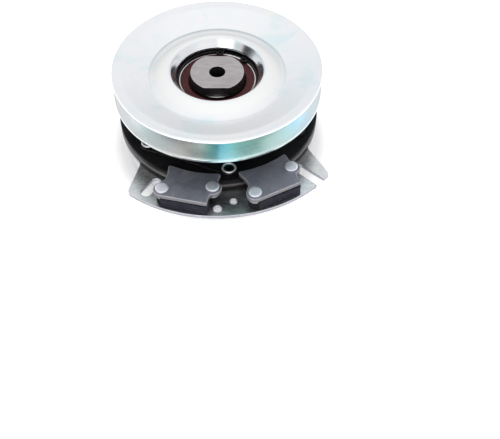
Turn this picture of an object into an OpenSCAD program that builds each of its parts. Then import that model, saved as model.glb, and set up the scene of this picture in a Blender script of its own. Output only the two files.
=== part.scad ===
// Electromagnetic power take-off clutch with a single V-belt pulley.
// Stationary field at the bottom, rotor on the crankshaft, pulley above on its own bearing,
// and a spring-hung armature between rotor and brake plates.
// Origin: crankshaft bore axis at the lower face. +Z up, towards the bolt collar.

/* [Pulley] */
// Outer diameter of both pulley flanges
pulley_d = 154; // [152:0.5:156]
// Width of the pulley over both flanges
pulley_w = 21; // [20.5:0.1:21.5]
// Diameter at the bottom of the belt groove
groove_root_d = 128; // [126:1:130]
// Thickness of the flange sheet at the rim
rim_t = 2.4; // [2:0.1:2.8]

/* [Shaft] */
// Crankshaft bore diameter
bore_d = 25.4; // [25:0.05:25.8]
// Keyway width
key_w = 6.35; // [6:0.05:6.5]
// Height of the keyway roof above the bore axis
key_h = 15.2; // [14.6:0.1:15.6]
// Bolt hole in the collar
bolt_d = 11.8; // [11.2:0.1:12.5]
// Diameter of the collar
collar_d = 39.4; // [38.5:0.1:40]
// Width across the flats of the collar
collar_flats = 35; // [34:0.5:36]

/* [Bearings] */
// Bearing bore diameter
brg_id = 35; // [34.8:0.1:35.2]
// Bearing outside diameter
brg_od = 62; // [61.8:0.1:62.2]
// Bearing width
brg_w = 14; // [13.8:0.1:14]
// Number of balls in a bearing
balls = 11; // [9:1:11]
// Ball diameter
ball_d = 7.94; // [7.8:0.02:7.96]

/* [Field] */
// Outside diameter of the field cup
cup_d = 145; // [143:0.5:146]
// Thickness of the mounting plate
plate_t = 3; // [2.6:0.1:3]
// Diameter of the round part of the mounting plate
plate_d = 149.2; // [148:0.2:150.5]
// Width of the anti-rotation slots
slot_w = 7.8; // [6.6:0.1:8]

/* [Brake] */
// Thickness of a brake plate
brake_t = 3.2; // [2.8:0.1:3.4]
// Radius of a brake rivet head
brake_head_r = 4.8; // [4.4:0.1:5]

/* [Armature] */
// Outside diameter of the armature
arm_d = 150.2; // [149:0.2:150.6]
// Gap between rotor and armature with the coil off
air_gap = 0.5; // [0.45:0.01:0.6]
// Thickness of a leaf spring
leaf_t = 0.9; // [0.7:0.1:1]
// Radius of the circle of leaf spring rivets
spring_r = 64; // [63.4:0.1:64.2]

/* [Hidden] */
$fn = 96;
H = 73.5;                    // top of the pulley rim
pulley_r = pulley_d / 2;
root_r = groove_root_d / 2;
z_low = H - pulley_w;        // lower edge of the lower flange
brg_ir = brg_id / 2;
brg_or = brg_od / 2;
pitch_r = (brg_ir + brg_or) / 2;
ball_r = ball_d / 2;
race_in = pitch_r - 3.3;     // outside radius of an inner race
race_out = pitch_r + 3.25;   // inside radius of an outer race
z_fb = 3;                    // lower face of the field bearing
z_pb = 47.2;                 // lower face of the pulley bearing
z_pt = z_pb + brg_w;         // upper face of the pulley bearing
cup_r = cup_d / 2;
z_pl = 22 - plate_t;         // underside of the mounting plate
z_pm = 22;                   // top of the mounting plate
rot_z0 = z_pm + 0.3;
rot_z1 = 27.1;
arm_z0 = rot_z1 + air_gap;
arm_z1 = 31.6;
z_bp = arm_z1 + 0.1;         // underside of the brake plates
z_bt = z_bp + brake_t;       // top of the brake plates
z_ear = arm_z1 + leaf_t;     // underside of the spider ears
ear_t = 1.5;
z_sp = 45.7;                 // lower face of the pulley hub
sp_t = 3;                    // spider thickness
rivet_r = 3.8;
plate_r = plate_d / 2;
bar_c = [-103.6, -62.3];     // direction of each brake plate
bri = [83.7, 12];            // inner brake rivet: radius, angle
bro = [93.0, -10.4];         // outer brake rivet: radius, angle
slot_l_a = -123.3;           // closed slot direction
slot_r_a = -41.7;            // open slot direction
arc_c = [0, 4];              // centre of the plate's front arc
arc_r = 103.5;

// ---------- helpers ----------
function pol(r, a) = [r * cos(a), r * sin(a)];
// centre of a circle at signed distance off from a line with unit normal n, at distance d from c0
function tan_c(n, off, c0, d, s) =
    let (h = off - n * c0, t = sqrt(d * d - h * h)) c0 + h * n + s * t * [n[1], -n[0]];
function unit(v) = v / norm(v);
function ang(v) = atan2(v[1], v[0]);
// points of an arc about c
function arc(c, r, a0, a1, n) = [for (i = [0:n]) c + pol(r, a0 + (a1 - a0) * i / n)];
// angle difference folded into -180..180
function fold(a) = ((a + 720) + 180) % 360 - 180;
// rounded corner at p between its neighbours a and b
function corner(a, p, b, r, n) =
    let (u = unit(a - p), v = unit(b - p), h = acos(u * v) / 2, c = p + unit(u + v) * r / sin(h),
        s = p + u * r / tan(h), t = p + v * r / tan(h), a0 = ang(s - c), d = fold(ang(t - c) - a0))
    arc(c, r, a0, a0 + d, n);
// outline from [x, y, corner radius] entries
function rounded(P, n = 5) = let (m = len(P)) [for (i = [0:m - 1])
    let (p = [P[i][0], P[i][1]], a = P[(i + m - 1) % m], b = P[(i + 1) % m])
    each (P[i][2] == 0 ? [p] : corner([a[0], a[1]], p, [b[0], b[1]], P[i][2], n))];
function with_r(L, r) = [for (p = L) [p[0], p[1], r]];
function polr(r, a, f) = [r * cos(a), r * sin(a), f];

module ring(r0, r1, z0, z1) {
    translate([0, 0, z0]) difference() {
        cylinder(r = r1, h = z1 - z0);
        translate([0, 0, -1]) cylinder(r = r0, h = z1 - z0 + 2);
    }
}
// ring with a chamfer c on both outer edges
module ring_c(r0, r1, z0, z1, c) {
    rotate_extrude() polygon([[r0, z0], [r1 - c, z0], [r1, z0 + c], [r1, z1 - c], [r1 - c, z1], [r0, z1]]);
}
module at(r, a) { rotate([0, 0, a]) translate([r, 0, 0]) children(); }
module three(a0) { for (k = [0:2]) rotate([0, 0, a0 + 120 * k]) children(); }
// ring sector between two angles
module sector(r0, r1, a0, a1, z0, z1) {
    translate([0, 0, z0]) rotate([0, 0, a0]) rotate_extrude(angle = a1 - a0)
        translate([r0, 0]) square([r1 - r0, z1 - z0]);
}

// ---------- bearing pieces, lower face at z ----------
module race_inner(z) {
    translate([0, 0, z]) rotate_extrude() difference() {
        polygon([[brg_ir + 0.4, 0], [race_in - 0.3, 0], [race_in, 0.3], [race_in, brg_w - 0.3],
            [race_in - 0.3, brg_w], [brg_ir + 0.4, brg_w], [brg_ir, brg_w - 0.4], [brg_ir, 0.4]]);
        translate([pitch_r, brg_w / 2]) circle(r = ball_r + 0.08);
    }
}
module race_outer(z) {
    translate([0, 0, z]) rotate_extrude() difference() {
        polygon([[race_out, 0], [brg_or - 0.4, 0], [brg_or, 0.4], [brg_or, brg_w - 0.4],
            [brg_or - 0.4, brg_w], [race_out, brg_w]]);
        translate([pitch_r, brg_w / 2]) circle(r = ball_r + 0.08);
    }
}
module seal_profile(h) {
    rotate_extrude() polygon([[race_in + 0.3, 0.3], [race_in + 1.2, 0], [race_out - 0.8, 0], [race_out, 0.2],
        [race_out, h - 0.2], [race_out - 0.8, h], [race_in + 1.2, h], [race_in + 0.3, h - 0.3]]);
}
module seals(z) {
    translate([0, 0, z + 1]) seal_profile(1.2);
    translate([0, 0, z + brg_w - 2.2]) seal_profile(1.2);
}
module ball_set(z) {
    for (i = [0:balls - 1]) at(pitch_r, 360 / balls * i) translate([0, 0, z + brg_w / 2]) sphere(r = ball_r, $fn = 32);
}
module cage(z) {
    difference() {
        ring(pitch_r - 1.1, pitch_r + 1.1, z + brg_w / 2 - 4.5, z + brg_w / 2 + 4.5);
        ball_set(z);
    }
}
// internal snap ring with two drilled ears; g0..g1 is the open gap
module inner_snap(z, g0, g1) {
    t = 1.8;
    ro = brg_or + 1.2;
    ri = brg_or - 2.3;
    re = brg_or - 5.4;
    translate([0, 0, z]) difference() {
        linear_extrude(t) polygon(rounded(concat(
            with_r(arc([0, 0], ro, g1, g0 + 360, 108), 0),
            [polr(re, g0 - 1.5, 1.6), polr(re, g0 - 10.5, 1.8), polr(ri, g0 - 13, 0.8)],
            with_r(arc([0, 0], ri, g0 + 345, g1 + 15, 96), 0),
            [polr(ri, g1 + 13, 0.8), polr(re, g1 + 10.5, 1.8), polr(re, g1 + 1.5, 1.6)])));
        for (g = [g0 - 6, g1 + 6]) at(brg_or - 2.9, g) translate([0, 0, -1]) cylinder(r = 1.1, h = t + 2);
    }
}

// ---------- field ----------
lw_n = [-0.967, 0.2548];     // outward normal of the left wing edge
lw_off = 42.6;
rw_n = [0.866, 0.5];         // outward normal of the right wing edge
rw_off = 41.9;
lc = tan_c(lw_n, lw_off - 5, arc_c, arc_r - 5, -1);   // left corner round
rc = tan_c(rw_n, rw_off - 4, arc_c, arc_r - 4, 1);    // right corner round
lf = tan_c(lw_n, lw_off + 6, [0, 0], plate_r + 6, -1); // left fillet
rf = tan_c(rw_n, rw_off + 6, [0, 0], plate_r + 6, 1);  // right fillet
module plate_outline(z, t) {
    la = ang(lf) + 360;
    translate([0, 0, z]) linear_extrude(t) polygon(concat(
        arc([0, 0], plate_r, ang(rf), la, 160),
        arc(lf, 6, ang(-lf), ang(-lw_n), 8),
        arc(lc, 5, ang(lw_n), ang(lc - arc_c) + 360, 8),
        arc(arc_c, arc_r, ang(lc - arc_c), ang(rc - arc_c), 70),
        arc(rc, 4, ang(rc - arc_c), ang(rw_n), 8),
        arc(rf, 6, ang(-rw_n) + 360, ang(-rf), 8)));
}
module slot(a, r0, r1, z, h) {
    at(r0, a) translate([0, 0, z]) cylinder(r = slot_w / 2, h = h);
    at(r1, a) translate([0, 0, z]) cylinder(r = slot_w / 2, h = h);
    rotate([0, 0, a]) translate([r0, -slot_w / 2, z]) cube([r1 - r0, slot_w, h]);
}
module mounting_plate() {
    color([0.80, 0.82, 0.82]) difference() {
        plate_outline(z_pl, plate_t);
        translate([0, 0, z_pl - 1]) cylinder(r = 60, h = plate_t + 2);
        slot(slot_l_a, 81, 92, z_pl - 1, plate_t + 2);
        slot(slot_r_a, 81, 112, z_pl - 1, plate_t + 2);
        // two plain holes at the front
        translate([1.1, -92.8, z_pl - 1]) cylinder(r = 3.1, h = plate_t + 2);
        translate([12.3, -85.8, z_pl - 1]) cylinder(r = 2.7, h = plate_t + 2);
        for (c = bar_c) {
            at(bri[0], c + bri[1]) translate([0, 0, z_pl - 1]) cylinder(r = 2.6, h = plate_t + 2);
            at(bro[0], c + bro[1]) translate([0, 0, z_pl - 1]) cylinder(r = 2.6, h = plate_t + 2);
        }
    }
}
module field_cup() {
    color([0.78, 0.80, 0.80]) difference() {
        rotate_extrude() polygon(concat(
            [[brg_or - 2.5, 0.6], [brg_or - 1.9, 0]],
            [for (i = [0:8]) [cup_r - 4 + 4 * sin(i * 11.25), 4 - 4 * cos(i * 11.25)]],
            [[cup_r, z_pl], [cup_r - 3, z_pl], [cup_r - 3, 3],
             [35, 3], [35, 21.8], [brg_or + 0.4, 21.8], [brg_or, 21.4],
             [brg_or, 18.8], [brg_or + 1.3, 18.8], [brg_or + 1.3, z_fb + brg_w], [brg_or, z_fb + brg_w],
             [brg_or, 3], [brg_or - 2.5, 3]]));
        // window for the connector neck
        translate([-6, 60, 6.5]) cube([12, 20, 7]);
    }
}
module coil_bobbin() {
    color([0.12, 0.12, 0.13]) rotate_extrude() polygon([[35, 3], [cup_r - 3, 3], [cup_r - 3, 18.6], [cup_r - 4.5, 18.6],
        [cup_r - 4.5, 4.5], [36.5, 4.5], [36.5, 18.6], [35, 18.6]]);
}
module coil_winding() {
    color([0.72, 0.42, 0.22]) ring(36.5, cup_r - 4.5, 4.5, 16);
}
module coil_potting() {
    color([0.08, 0.08, 0.09]) ring(36.5, cup_r - 4.5, 16, 18.4);
}
module connector_housing() {
    color([0.07, 0.07, 0.08]) difference() {
        union() {
            // neck that fills the window in the cup wall
            intersection() {
                translate([-6, 60, 6.5]) cube([12, 20, 7]);
                ring(cup_r - 3, cup_r, 5, 15);
            }
            difference() {
                translate([-10, 65, 3.5]) cube([20, 27, 13]);
                translate([0, 0, 0]) cylinder(r = cup_r, h = 30);
            }
            // latch rail on top
            translate([-3, 80, 16.5]) cube([6, 10, 1.6]);
        }
        translate([-8, 77, 5]) cube([16, 20, 10]);
    }
}
module connector_terminals() {
    color([0.85, 0.80, 0.62]) for (s = [-1, 1]) translate([s * 4.6 - 0.4, 77, 6.9]) difference() {
        cube([0.8, 11.5, 6.3]);
        translate([-1, 9, 3.15]) rotate([0, 90, 0]) cylinder(r = 0.9, h = 3);
    }
}
module field_bearing_outer() { color([0.80, 0.81, 0.83]) race_outer(z_fb); }
module field_bearing_seals() { color([0.33, 0.16, 0.15]) seals(z_fb); }
module field_snap_ring() { color([0.10, 0.10, 0.11]) inner_snap(z_fb + brg_w, 75, 105); }

// brake plate outline about the direction of its middle
lobe_i = pol(bri[0], bri[1]);
lobe_o = pol(bro[0], bro[1]);
brake_out = rounded(concat(
    [[97.4, 17.5, 1], [91.5, 16.9, 0.8]],
    with_r(arc(lobe_i, 6.6, 4, 112, 14), 0),
    [[75.4, 19.5, 2], polr(70.6, 16.5, 1.5)],
    with_r(arc([0, 0], 70.6, 14, -13, 28), 0),
    [polr(70.6, -15.5, 1.5), [77.5, -17, 2], [82.4, -17.1, 2]],
    with_r(arc(lobe_o, 6.3, -125, 0, 18), 0)));
module brake_shape(z, t) {
    difference() {
        translate([0, 0, z]) linear_extrude(t) polygon(brake_out);
        at(bri[0], bri[1]) translate([0, 0, z - 1]) cylinder(r = 2.6, h = t + 2);
        at(bro[0], bro[1]) translate([0, 0, z - 1]) cylinder(r = 2.6, h = t + 2);
    }
}
module brake_plate_left() { color([0.36, 0.37, 0.40]) rotate([0, 0, bar_c[0]]) brake_shape(z_bp, brake_t); }
module brake_plate_right() { color([0.36, 0.37, 0.40]) rotate([0, 0, bar_c[1]]) brake_shape(z_bp, brake_t); }
module magnet_block() {
    c = 0.8;
    difference() {
        translate([0, 0, z_pm]) linear_extrude(z_bp - z_pm - 1.3) polygon([[78, -17 + c], [78 + c, -17], [97.6 - c, -17],
            [97.6, -17 + c], [97.6, 17 - c], [97.6 - c, 17], [78 + c, 17], [78, 17 - c]]);
        at(bri[0], bri[1]) translate([0, 0, 0]) cylinder(r = 5.1, h = 60);
        at(bro[0], bro[1]) translate([0, 0, 0]) cylinder(r = 5.1, h = 60);
    }
}
module brake_magnet_left() { color([0.06, 0.06, 0.09]) rotate([0, 0, bar_c[0]]) magnet_block(); }
module brake_magnet_right() { color([0.06, 0.06, 0.09]) rotate([0, 0, bar_c[1]]) magnet_block(); }
module brake_posts() {
    for (c = bar_c) { at(bri[0], c + bri[1]) children(); at(bro[0], c + bro[1]) children(); }
}
shim_z = z_bp - 3;
module brake_spacers() { color([0.20, 0.20, 0.22]) brake_posts() ring_c(2.6, 4.6, z_pm, shim_z, 0.3); }
module brake_shims() {
    color([0.30, 0.30, 0.32]) brake_posts() for (i = [0:2]) ring_c(2.6, 4.9, shim_z + i, shim_z + i + 1, 0.2);
}
module brake_rivets() {
    color([0.74, 0.75, 0.78]) brake_posts() rotate_extrude() polygon([[0, z_pl - 1.2], [3.6, z_pl - 1.2], [4.2, z_pl - 0.6],
        [4.2, z_pl], [2.6, z_pl], [2.6, z_bt], [brake_head_r, z_bt], [brake_head_r, z_bt + 1.1],
        [brake_head_r - 0.5, z_bt + 1.6], [0, z_bt + 1.6]]);
}

// ---------- rotor ----------
module rotor_hub() {
    color([0.45, 0.46, 0.48]) difference() {
        rotate_extrude() polygon([[0, 0], [16.7, 0], [17.3, 0.6], [17.3, 1.3], [16.6, 1.3], [16.6, z_fb], [brg_ir, z_fb],
            [brg_ir, z_fb + brg_w], [21, z_fb + brg_w + 0.0], [21, z_pb], [brg_ir, z_pb], [brg_ir, z_pt], [0, z_pt]]);
        translate([0, 0, -1]) cylinder(r = bore_d / 2, h = 80);
        translate([-key_w / 2, 0, -1]) cube([key_w, key_h, 80]);
    }
}
module rotor_disc() {
    color([0.07, 0.07, 0.08]) difference() {
        rotate_extrude() polygon([[21, rot_z0], [74.4, rot_z0], [75, rot_z0 + 0.6], [75, rot_z1 - 0.6], [74.4, rot_z1],
            [69, rot_z1], [69, rot_z1 - 1.5], [62, rot_z1 - 1.5], [62, rot_z1], [21, rot_z1]]);
        for (k = [0:5]) {
            sector(39, 42, 60 * k + 6, 60 * k + 48, rot_z0 - 1, rot_z1 + 1);
            sector(55, 58, 60 * k - 16, 60 * k + 26, rot_z0 - 1, rot_z1 + 1);
        }
    }
}
module friction_ring() { color([0.34, 0.25, 0.18]) ring(62, 69, rot_z1 - 1.5, rot_z1); }
module field_bearing_inner() { color([0.80, 0.81, 0.83]) race_inner(z_fb); }
module pulley_bearing_inner() { color([0.80, 0.81, 0.83]) race_inner(z_pb); }
module hub_retaining_ring() {
    color([0.10, 0.10, 0.11]) difference() {
        union() {
            sector(16.6, 20, -72, 252, 1.3, z_fb);
            at(19.6, 248) translate([0, 0, 1.3]) cylinder(r = 2, h = z_fb - 1.3);
            at(19.6, -68) translate([0, 0, 1.3]) cylinder(r = 2, h = z_fb - 1.3);
        }
        translate([0, 0, 0]) cylinder(r = 17.3, h = 1.3);
        cylinder(r = 16.6, h = 10);
        at(19.9, 248) cylinder(r = 0.9, h = 10);
        at(19.9, -68) cylinder(r = 0.9, h = 10);
    }
}
collar_z1 = 68.1;
module bolt_collar() {
    color([0.66, 0.66, 0.68]) difference() {
        intersection() {
            rotate_extrude() polygon([[0, z_pt], [collar_d / 2, z_pt], [collar_d / 2, collar_z1 - 0.4],
                [collar_d / 2 - 0.4, collar_z1], [0, collar_z1]]);
            translate([-30, -collar_flats / 2, z_pt - 1]) cube([60, collar_flats, 20]);
        }
        translate([0, 0, z_pt - 1]) cylinder(r = bolt_d / 2, h = 20);
    }
}

// ---------- pulley ----------
gw = 0.323; // slope of a groove wall
module pulley_upper_flange() {
    zu = H - rim_t;                       // underside at the rim
    zr = zu - gw * (pulley_r - root_r);   // underside at the root
    color([0.88, 0.90, 0.91]) rotate_extrude() polygon([
        [31.3, 64], [31.3, 64.6], [34.0, 70.6], [34.35, 71.3], [34.8, 71.7], [35.5, 71.9], [36.6, 71.85],
        [38.4, 71.55], [40.4, 71.0], [42.5, 70.25], [44.6, 69.3], [46.8, 68.15], [48.6, 67.3], [49.8, 66.95], [50.8, 67],
        [52.2, 67.35], [57, 68.8], [64, 70.92], [69.6, 72.6], [71, 72.85], [74.0, 73.2], [75.4, 73.5],
        [pulley_r - 0.7, H], [pulley_r, H - 0.7], [pulley_r, zu + 0.4], [pulley_r - 0.4, zu - 0.129],
        [root_r, zr], [50.8, 64.1], [48.6, 64.2], [46.5, 65.1], [43, 67], [40, 68.3], [38.2, 68.6], [37.2, 67.6], [37.2, 64]]);
}
root_in = root_r - 2.5;
module groove_ring() {
    zu = H - rim_t; zr = zu - gw * (pulley_r - root_r);
    zl = z_low + rim_t + gw * (pulley_r - root_r);
    slope = (zr - 64.1) / (root_r - 50.8);
    color([0.86, 0.88, 0.89]) rotate_extrude() polygon([[root_in, zl], [root_r, zl], [root_r, zr], [root_in, zr - slope * 2.5]]);
}
module pulley_lower_flange() {
    zl = z_low + rim_t + gw * (pulley_r - root_r);
    color([0.80, 0.83, 0.83]) rotate_extrude() polygon([
        [35, zl - 2.6], [60.5, zl - 2.6], [63.2, zl - 3.0], [74.6, z_low + 0.25], [75.4, z_low],
        [pulley_r - 0.7, z_low], [pulley_r, z_low + 0.7], [pulley_r, z_low + rim_t - 0.5],
        [pulley_r - 0.5, z_low + rim_t + 0.16], [root_r, zl], [root_in, zl], [35, zl]]);
}
module pulley_hub() {
    color([0.60, 0.62, 0.64]) difference() {
        rotate_extrude() polygon([[brg_or - 2.1, z_sp], [45, z_sp], [45, z_sp + 3], [35, z_sp + 3], [35, 64], [brg_or + 0.3, 64],
            [brg_or, 63.7], [brg_or, z_pt + 1.8], [brg_or + 1.3, z_pt + 1.8], [brg_or + 1.3, z_pt],
            [brg_or, z_pt], [brg_or, z_pb], [brg_or - 2.1, z_pb]]);
        for (k = [0:5]) at(40.5, 60 * k + 8) translate([0, 0, z_sp - 1]) cylinder(r = 2.5, h = 5);
    }
}
module pulley_bearing_outer() { color([0.80, 0.81, 0.83]) race_outer(z_pb); }
module pulley_bearing_seals() { color([0.36, 0.15, 0.16]) seals(z_pb); }
module pulley_snap_ring() { color([0.05, 0.05, 0.06]) inner_snap(z_pt, 52, 81); }
module drive_spider() {
    color([0.06, 0.06, 0.07]) difference() {
        union() {
            translate([0, 0, z_sp - sp_t]) cylinder(r = 45, h = sp_t);
            // three stepped arms with round ears at the leaf springs
            three(-142) intersection() {
                rotate([90, 0, 0]) translate([0, 0, -9]) linear_extrude(18) polygon([
                    [37, z_sp - sp_t + 0.3], [37, z_sp - 0.3], [49.2, z_sp - 0.3], [57.6, z_ear + ear_t], [spring_r + 9, z_ear + ear_t],
                    [spring_r + 9, z_ear], [56.8, z_ear], [47.6, z_sp - sp_t + 0.3]]);
                linear_extrude(60) polygon(concat([[36, 7.5], [36, -7.5], [47, -5.9]],
                    arc([spring_r, 0], 5.7, -80, 80, 16), [[47, 5.9]]));
            }
        }
        translate([0, 0, z_sp - 5]) cylinder(r = 31.5, h = 8);
        for (k = [0:5]) at(40.5, 60 * k + 8) translate([0, 0, z_sp - 5]) cylinder(r = 2.5, h = 8);
        three(-142) translate([spring_r, 0, z_ear - 1]) cylinder(r = rivet_r, h = 6);
    }
}
module spider_rivets() {
    color([0.70, 0.71, 0.73]) for (k = [0:5]) at(40.5, 60 * k + 8) rotate_extrude() polygon([
        [0, z_sp - 4.2], [3.2, z_sp - 4.2], [3.8, z_sp - 3.6], [3.8, z_sp - 3], [2.5, z_sp - 3], [2.5, z_sp + 3],
        [3.8, z_sp + 3], [3.8, z_sp + 3.7], [3.2, z_sp + 4.3], [0, z_sp + 4.3]]);
}
module leaf_springs() {
    color([0.10, 0.10, 0.11]) for (k = [0:2]) {
        p = pol(spring_r, -142 + 120 * k);
        q = pol(spring_r, -82 + 120 * k);
        l = norm(q - p);
        translate([p[0], p[1], arm_z1]) rotate([0, 0, atan2(q[1] - p[1], q[0] - p[0])]) difference() {
            union() {
                translate([0, -5.5, 0]) cube([l, 11, leaf_t]);
                cylinder(r = 6, h = leaf_t);
                translate([l, 0, 0]) cylinder(r = 6, h = leaf_t);
            }
            translate([0, 0, -1]) cylinder(r = rivet_r, h = 4);
            translate([l, 0, -1]) cylinder(r = rivet_r + 0.15, h = 4);
        }
    }
}
// hollow rivet: head seat at z1, lower flare seat at z0
module eyelet(z0, z1, flare) {
    rotate_extrude() polygon([[3.2, z0 - flare], [3.5, z0 - flare - 0.2], [4.6, z0 - flare - 0.2], [5, z0 - flare + 0.2], [5, z0],
        [rivet_r, z0], [rivet_r, z1], [5.3, z1], [5.4, z1 + 0.5], [5.15, z1 + 1.1], [4.7, z1 + 1.45],
        [4.25, z1 + 1.3], [3.75, z1 + 0.75], [3.2, z1 - 0.4]]);
}
module spring_rivets() {
    color([0.82, 0.84, 0.85]) three(-142) translate([spring_r, 0, 0]) eyelet(arm_z1, z_ear + ear_t, 1.1);
}

// ---------- armature ----------
module armature_disc() {
    color([0.06, 0.06, 0.07]) difference() {
        rotate_extrude() polygon([[40, arm_z0], [arm_d / 2 - 0.5, arm_z0], [arm_d / 2, arm_z0 + 0.5],
            [arm_d / 2, arm_z1 - 0.6], [arm_d / 2 - 0.6, arm_z1], [40, arm_z1]]);
        three(-142) translate([spring_r, 0, arm_z0 - 1]) cylinder(r = 6.2, h = 8);
        three(-82) translate([spring_r, 0, arm_z0 - 1]) cylinder(r = rivet_r, h = 8);
        for (k = [0:5]) sector(48, 51, 60 * k + 17, 60 * k + 59, arm_z0 - 1, arm_z1 + 1);
        // counterbores below the rivets
        three(-82) translate([spring_r, 0, arm_z0 - 1]) cylinder(r = 5.2, h = 2.4);
    }
}
module armature_rivets() {
    color([0.82, 0.84, 0.85]) three(-82) translate([spring_r, 0, 0]) eyelet(arm_z0 + 1.4, z_ear, 1.0);
}
module field_bearing_balls() { color([0.85, 0.86, 0.88]) ball_set(z_fb); }
module field_bearing_cage() { color([0.55, 0.48, 0.30]) cage(z_fb); }
module pulley_bearing_balls() { color([0.85, 0.86, 0.88]) ball_set(z_pb); }
module pulley_bearing_cage() { color([0.55, 0.48, 0.30]) cage(z_pb); }

mounting_plate();
field_cup();
coil_bobbin();
coil_winding();
coil_potting();
connector_housing();
connector_terminals();
field_bearing_outer();
field_bearing_seals();
field_snap_ring();
brake_plate_left();
brake_plate_right();
brake_magnet_left();
brake_magnet_right();
brake_spacers();
brake_shims();
brake_rivets();
rotor_hub();
rotor_disc();
friction_ring();
field_bearing_inner();
pulley_bearing_inner();
hub_retaining_ring();
bolt_collar();
pulley_upper_flange();
pulley_lower_flange();
groove_ring();
pulley_hub();
pulley_bearing_outer();
pulley_bearing_seals();
pulley_snap_ring();
drive_spider();
spider_rivets();
leaf_springs();
spring_rivets();
armature_disc();
armature_rivets();
field_bearing_balls();
field_bearing_cage();
pulley_bearing_balls();
pulley_bearing_cage();
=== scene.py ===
import math

import bmesh
import bpy
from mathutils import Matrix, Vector
from mathutils.geometry import tessellate_polygon


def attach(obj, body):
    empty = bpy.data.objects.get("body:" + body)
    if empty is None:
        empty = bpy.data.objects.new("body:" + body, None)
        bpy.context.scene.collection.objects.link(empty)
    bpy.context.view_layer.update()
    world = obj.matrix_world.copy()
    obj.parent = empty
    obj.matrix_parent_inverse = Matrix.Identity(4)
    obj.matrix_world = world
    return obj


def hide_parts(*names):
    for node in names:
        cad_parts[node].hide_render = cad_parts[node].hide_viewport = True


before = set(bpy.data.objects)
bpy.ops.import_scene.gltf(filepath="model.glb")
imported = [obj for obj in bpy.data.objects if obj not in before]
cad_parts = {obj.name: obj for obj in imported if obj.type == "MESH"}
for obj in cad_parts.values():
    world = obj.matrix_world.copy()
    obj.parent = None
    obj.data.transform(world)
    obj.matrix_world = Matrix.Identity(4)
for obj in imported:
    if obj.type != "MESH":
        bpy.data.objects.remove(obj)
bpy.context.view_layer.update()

scene = bpy.context.scene
MM = 0.001

# ---------------------------------------------------------------- camera
cd = bpy.data.cameras.new("camera")
cd.lens = 64.8
cd.sensor_width = 36
cd.clip_start, cd.clip_end = 0.01, 20
cam = bpy.data.objects.new("camera", cd)
cam.location = (0.02405, -0.50297, 0.50895)
cam.rotation_euler = (math.radians(39.44), 0, 0)
scene.collection.objects.link(cam)
scene.camera = cam
scene.view_settings.view_transform = "Standard"
scene.view_settings.look = "None"


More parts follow.
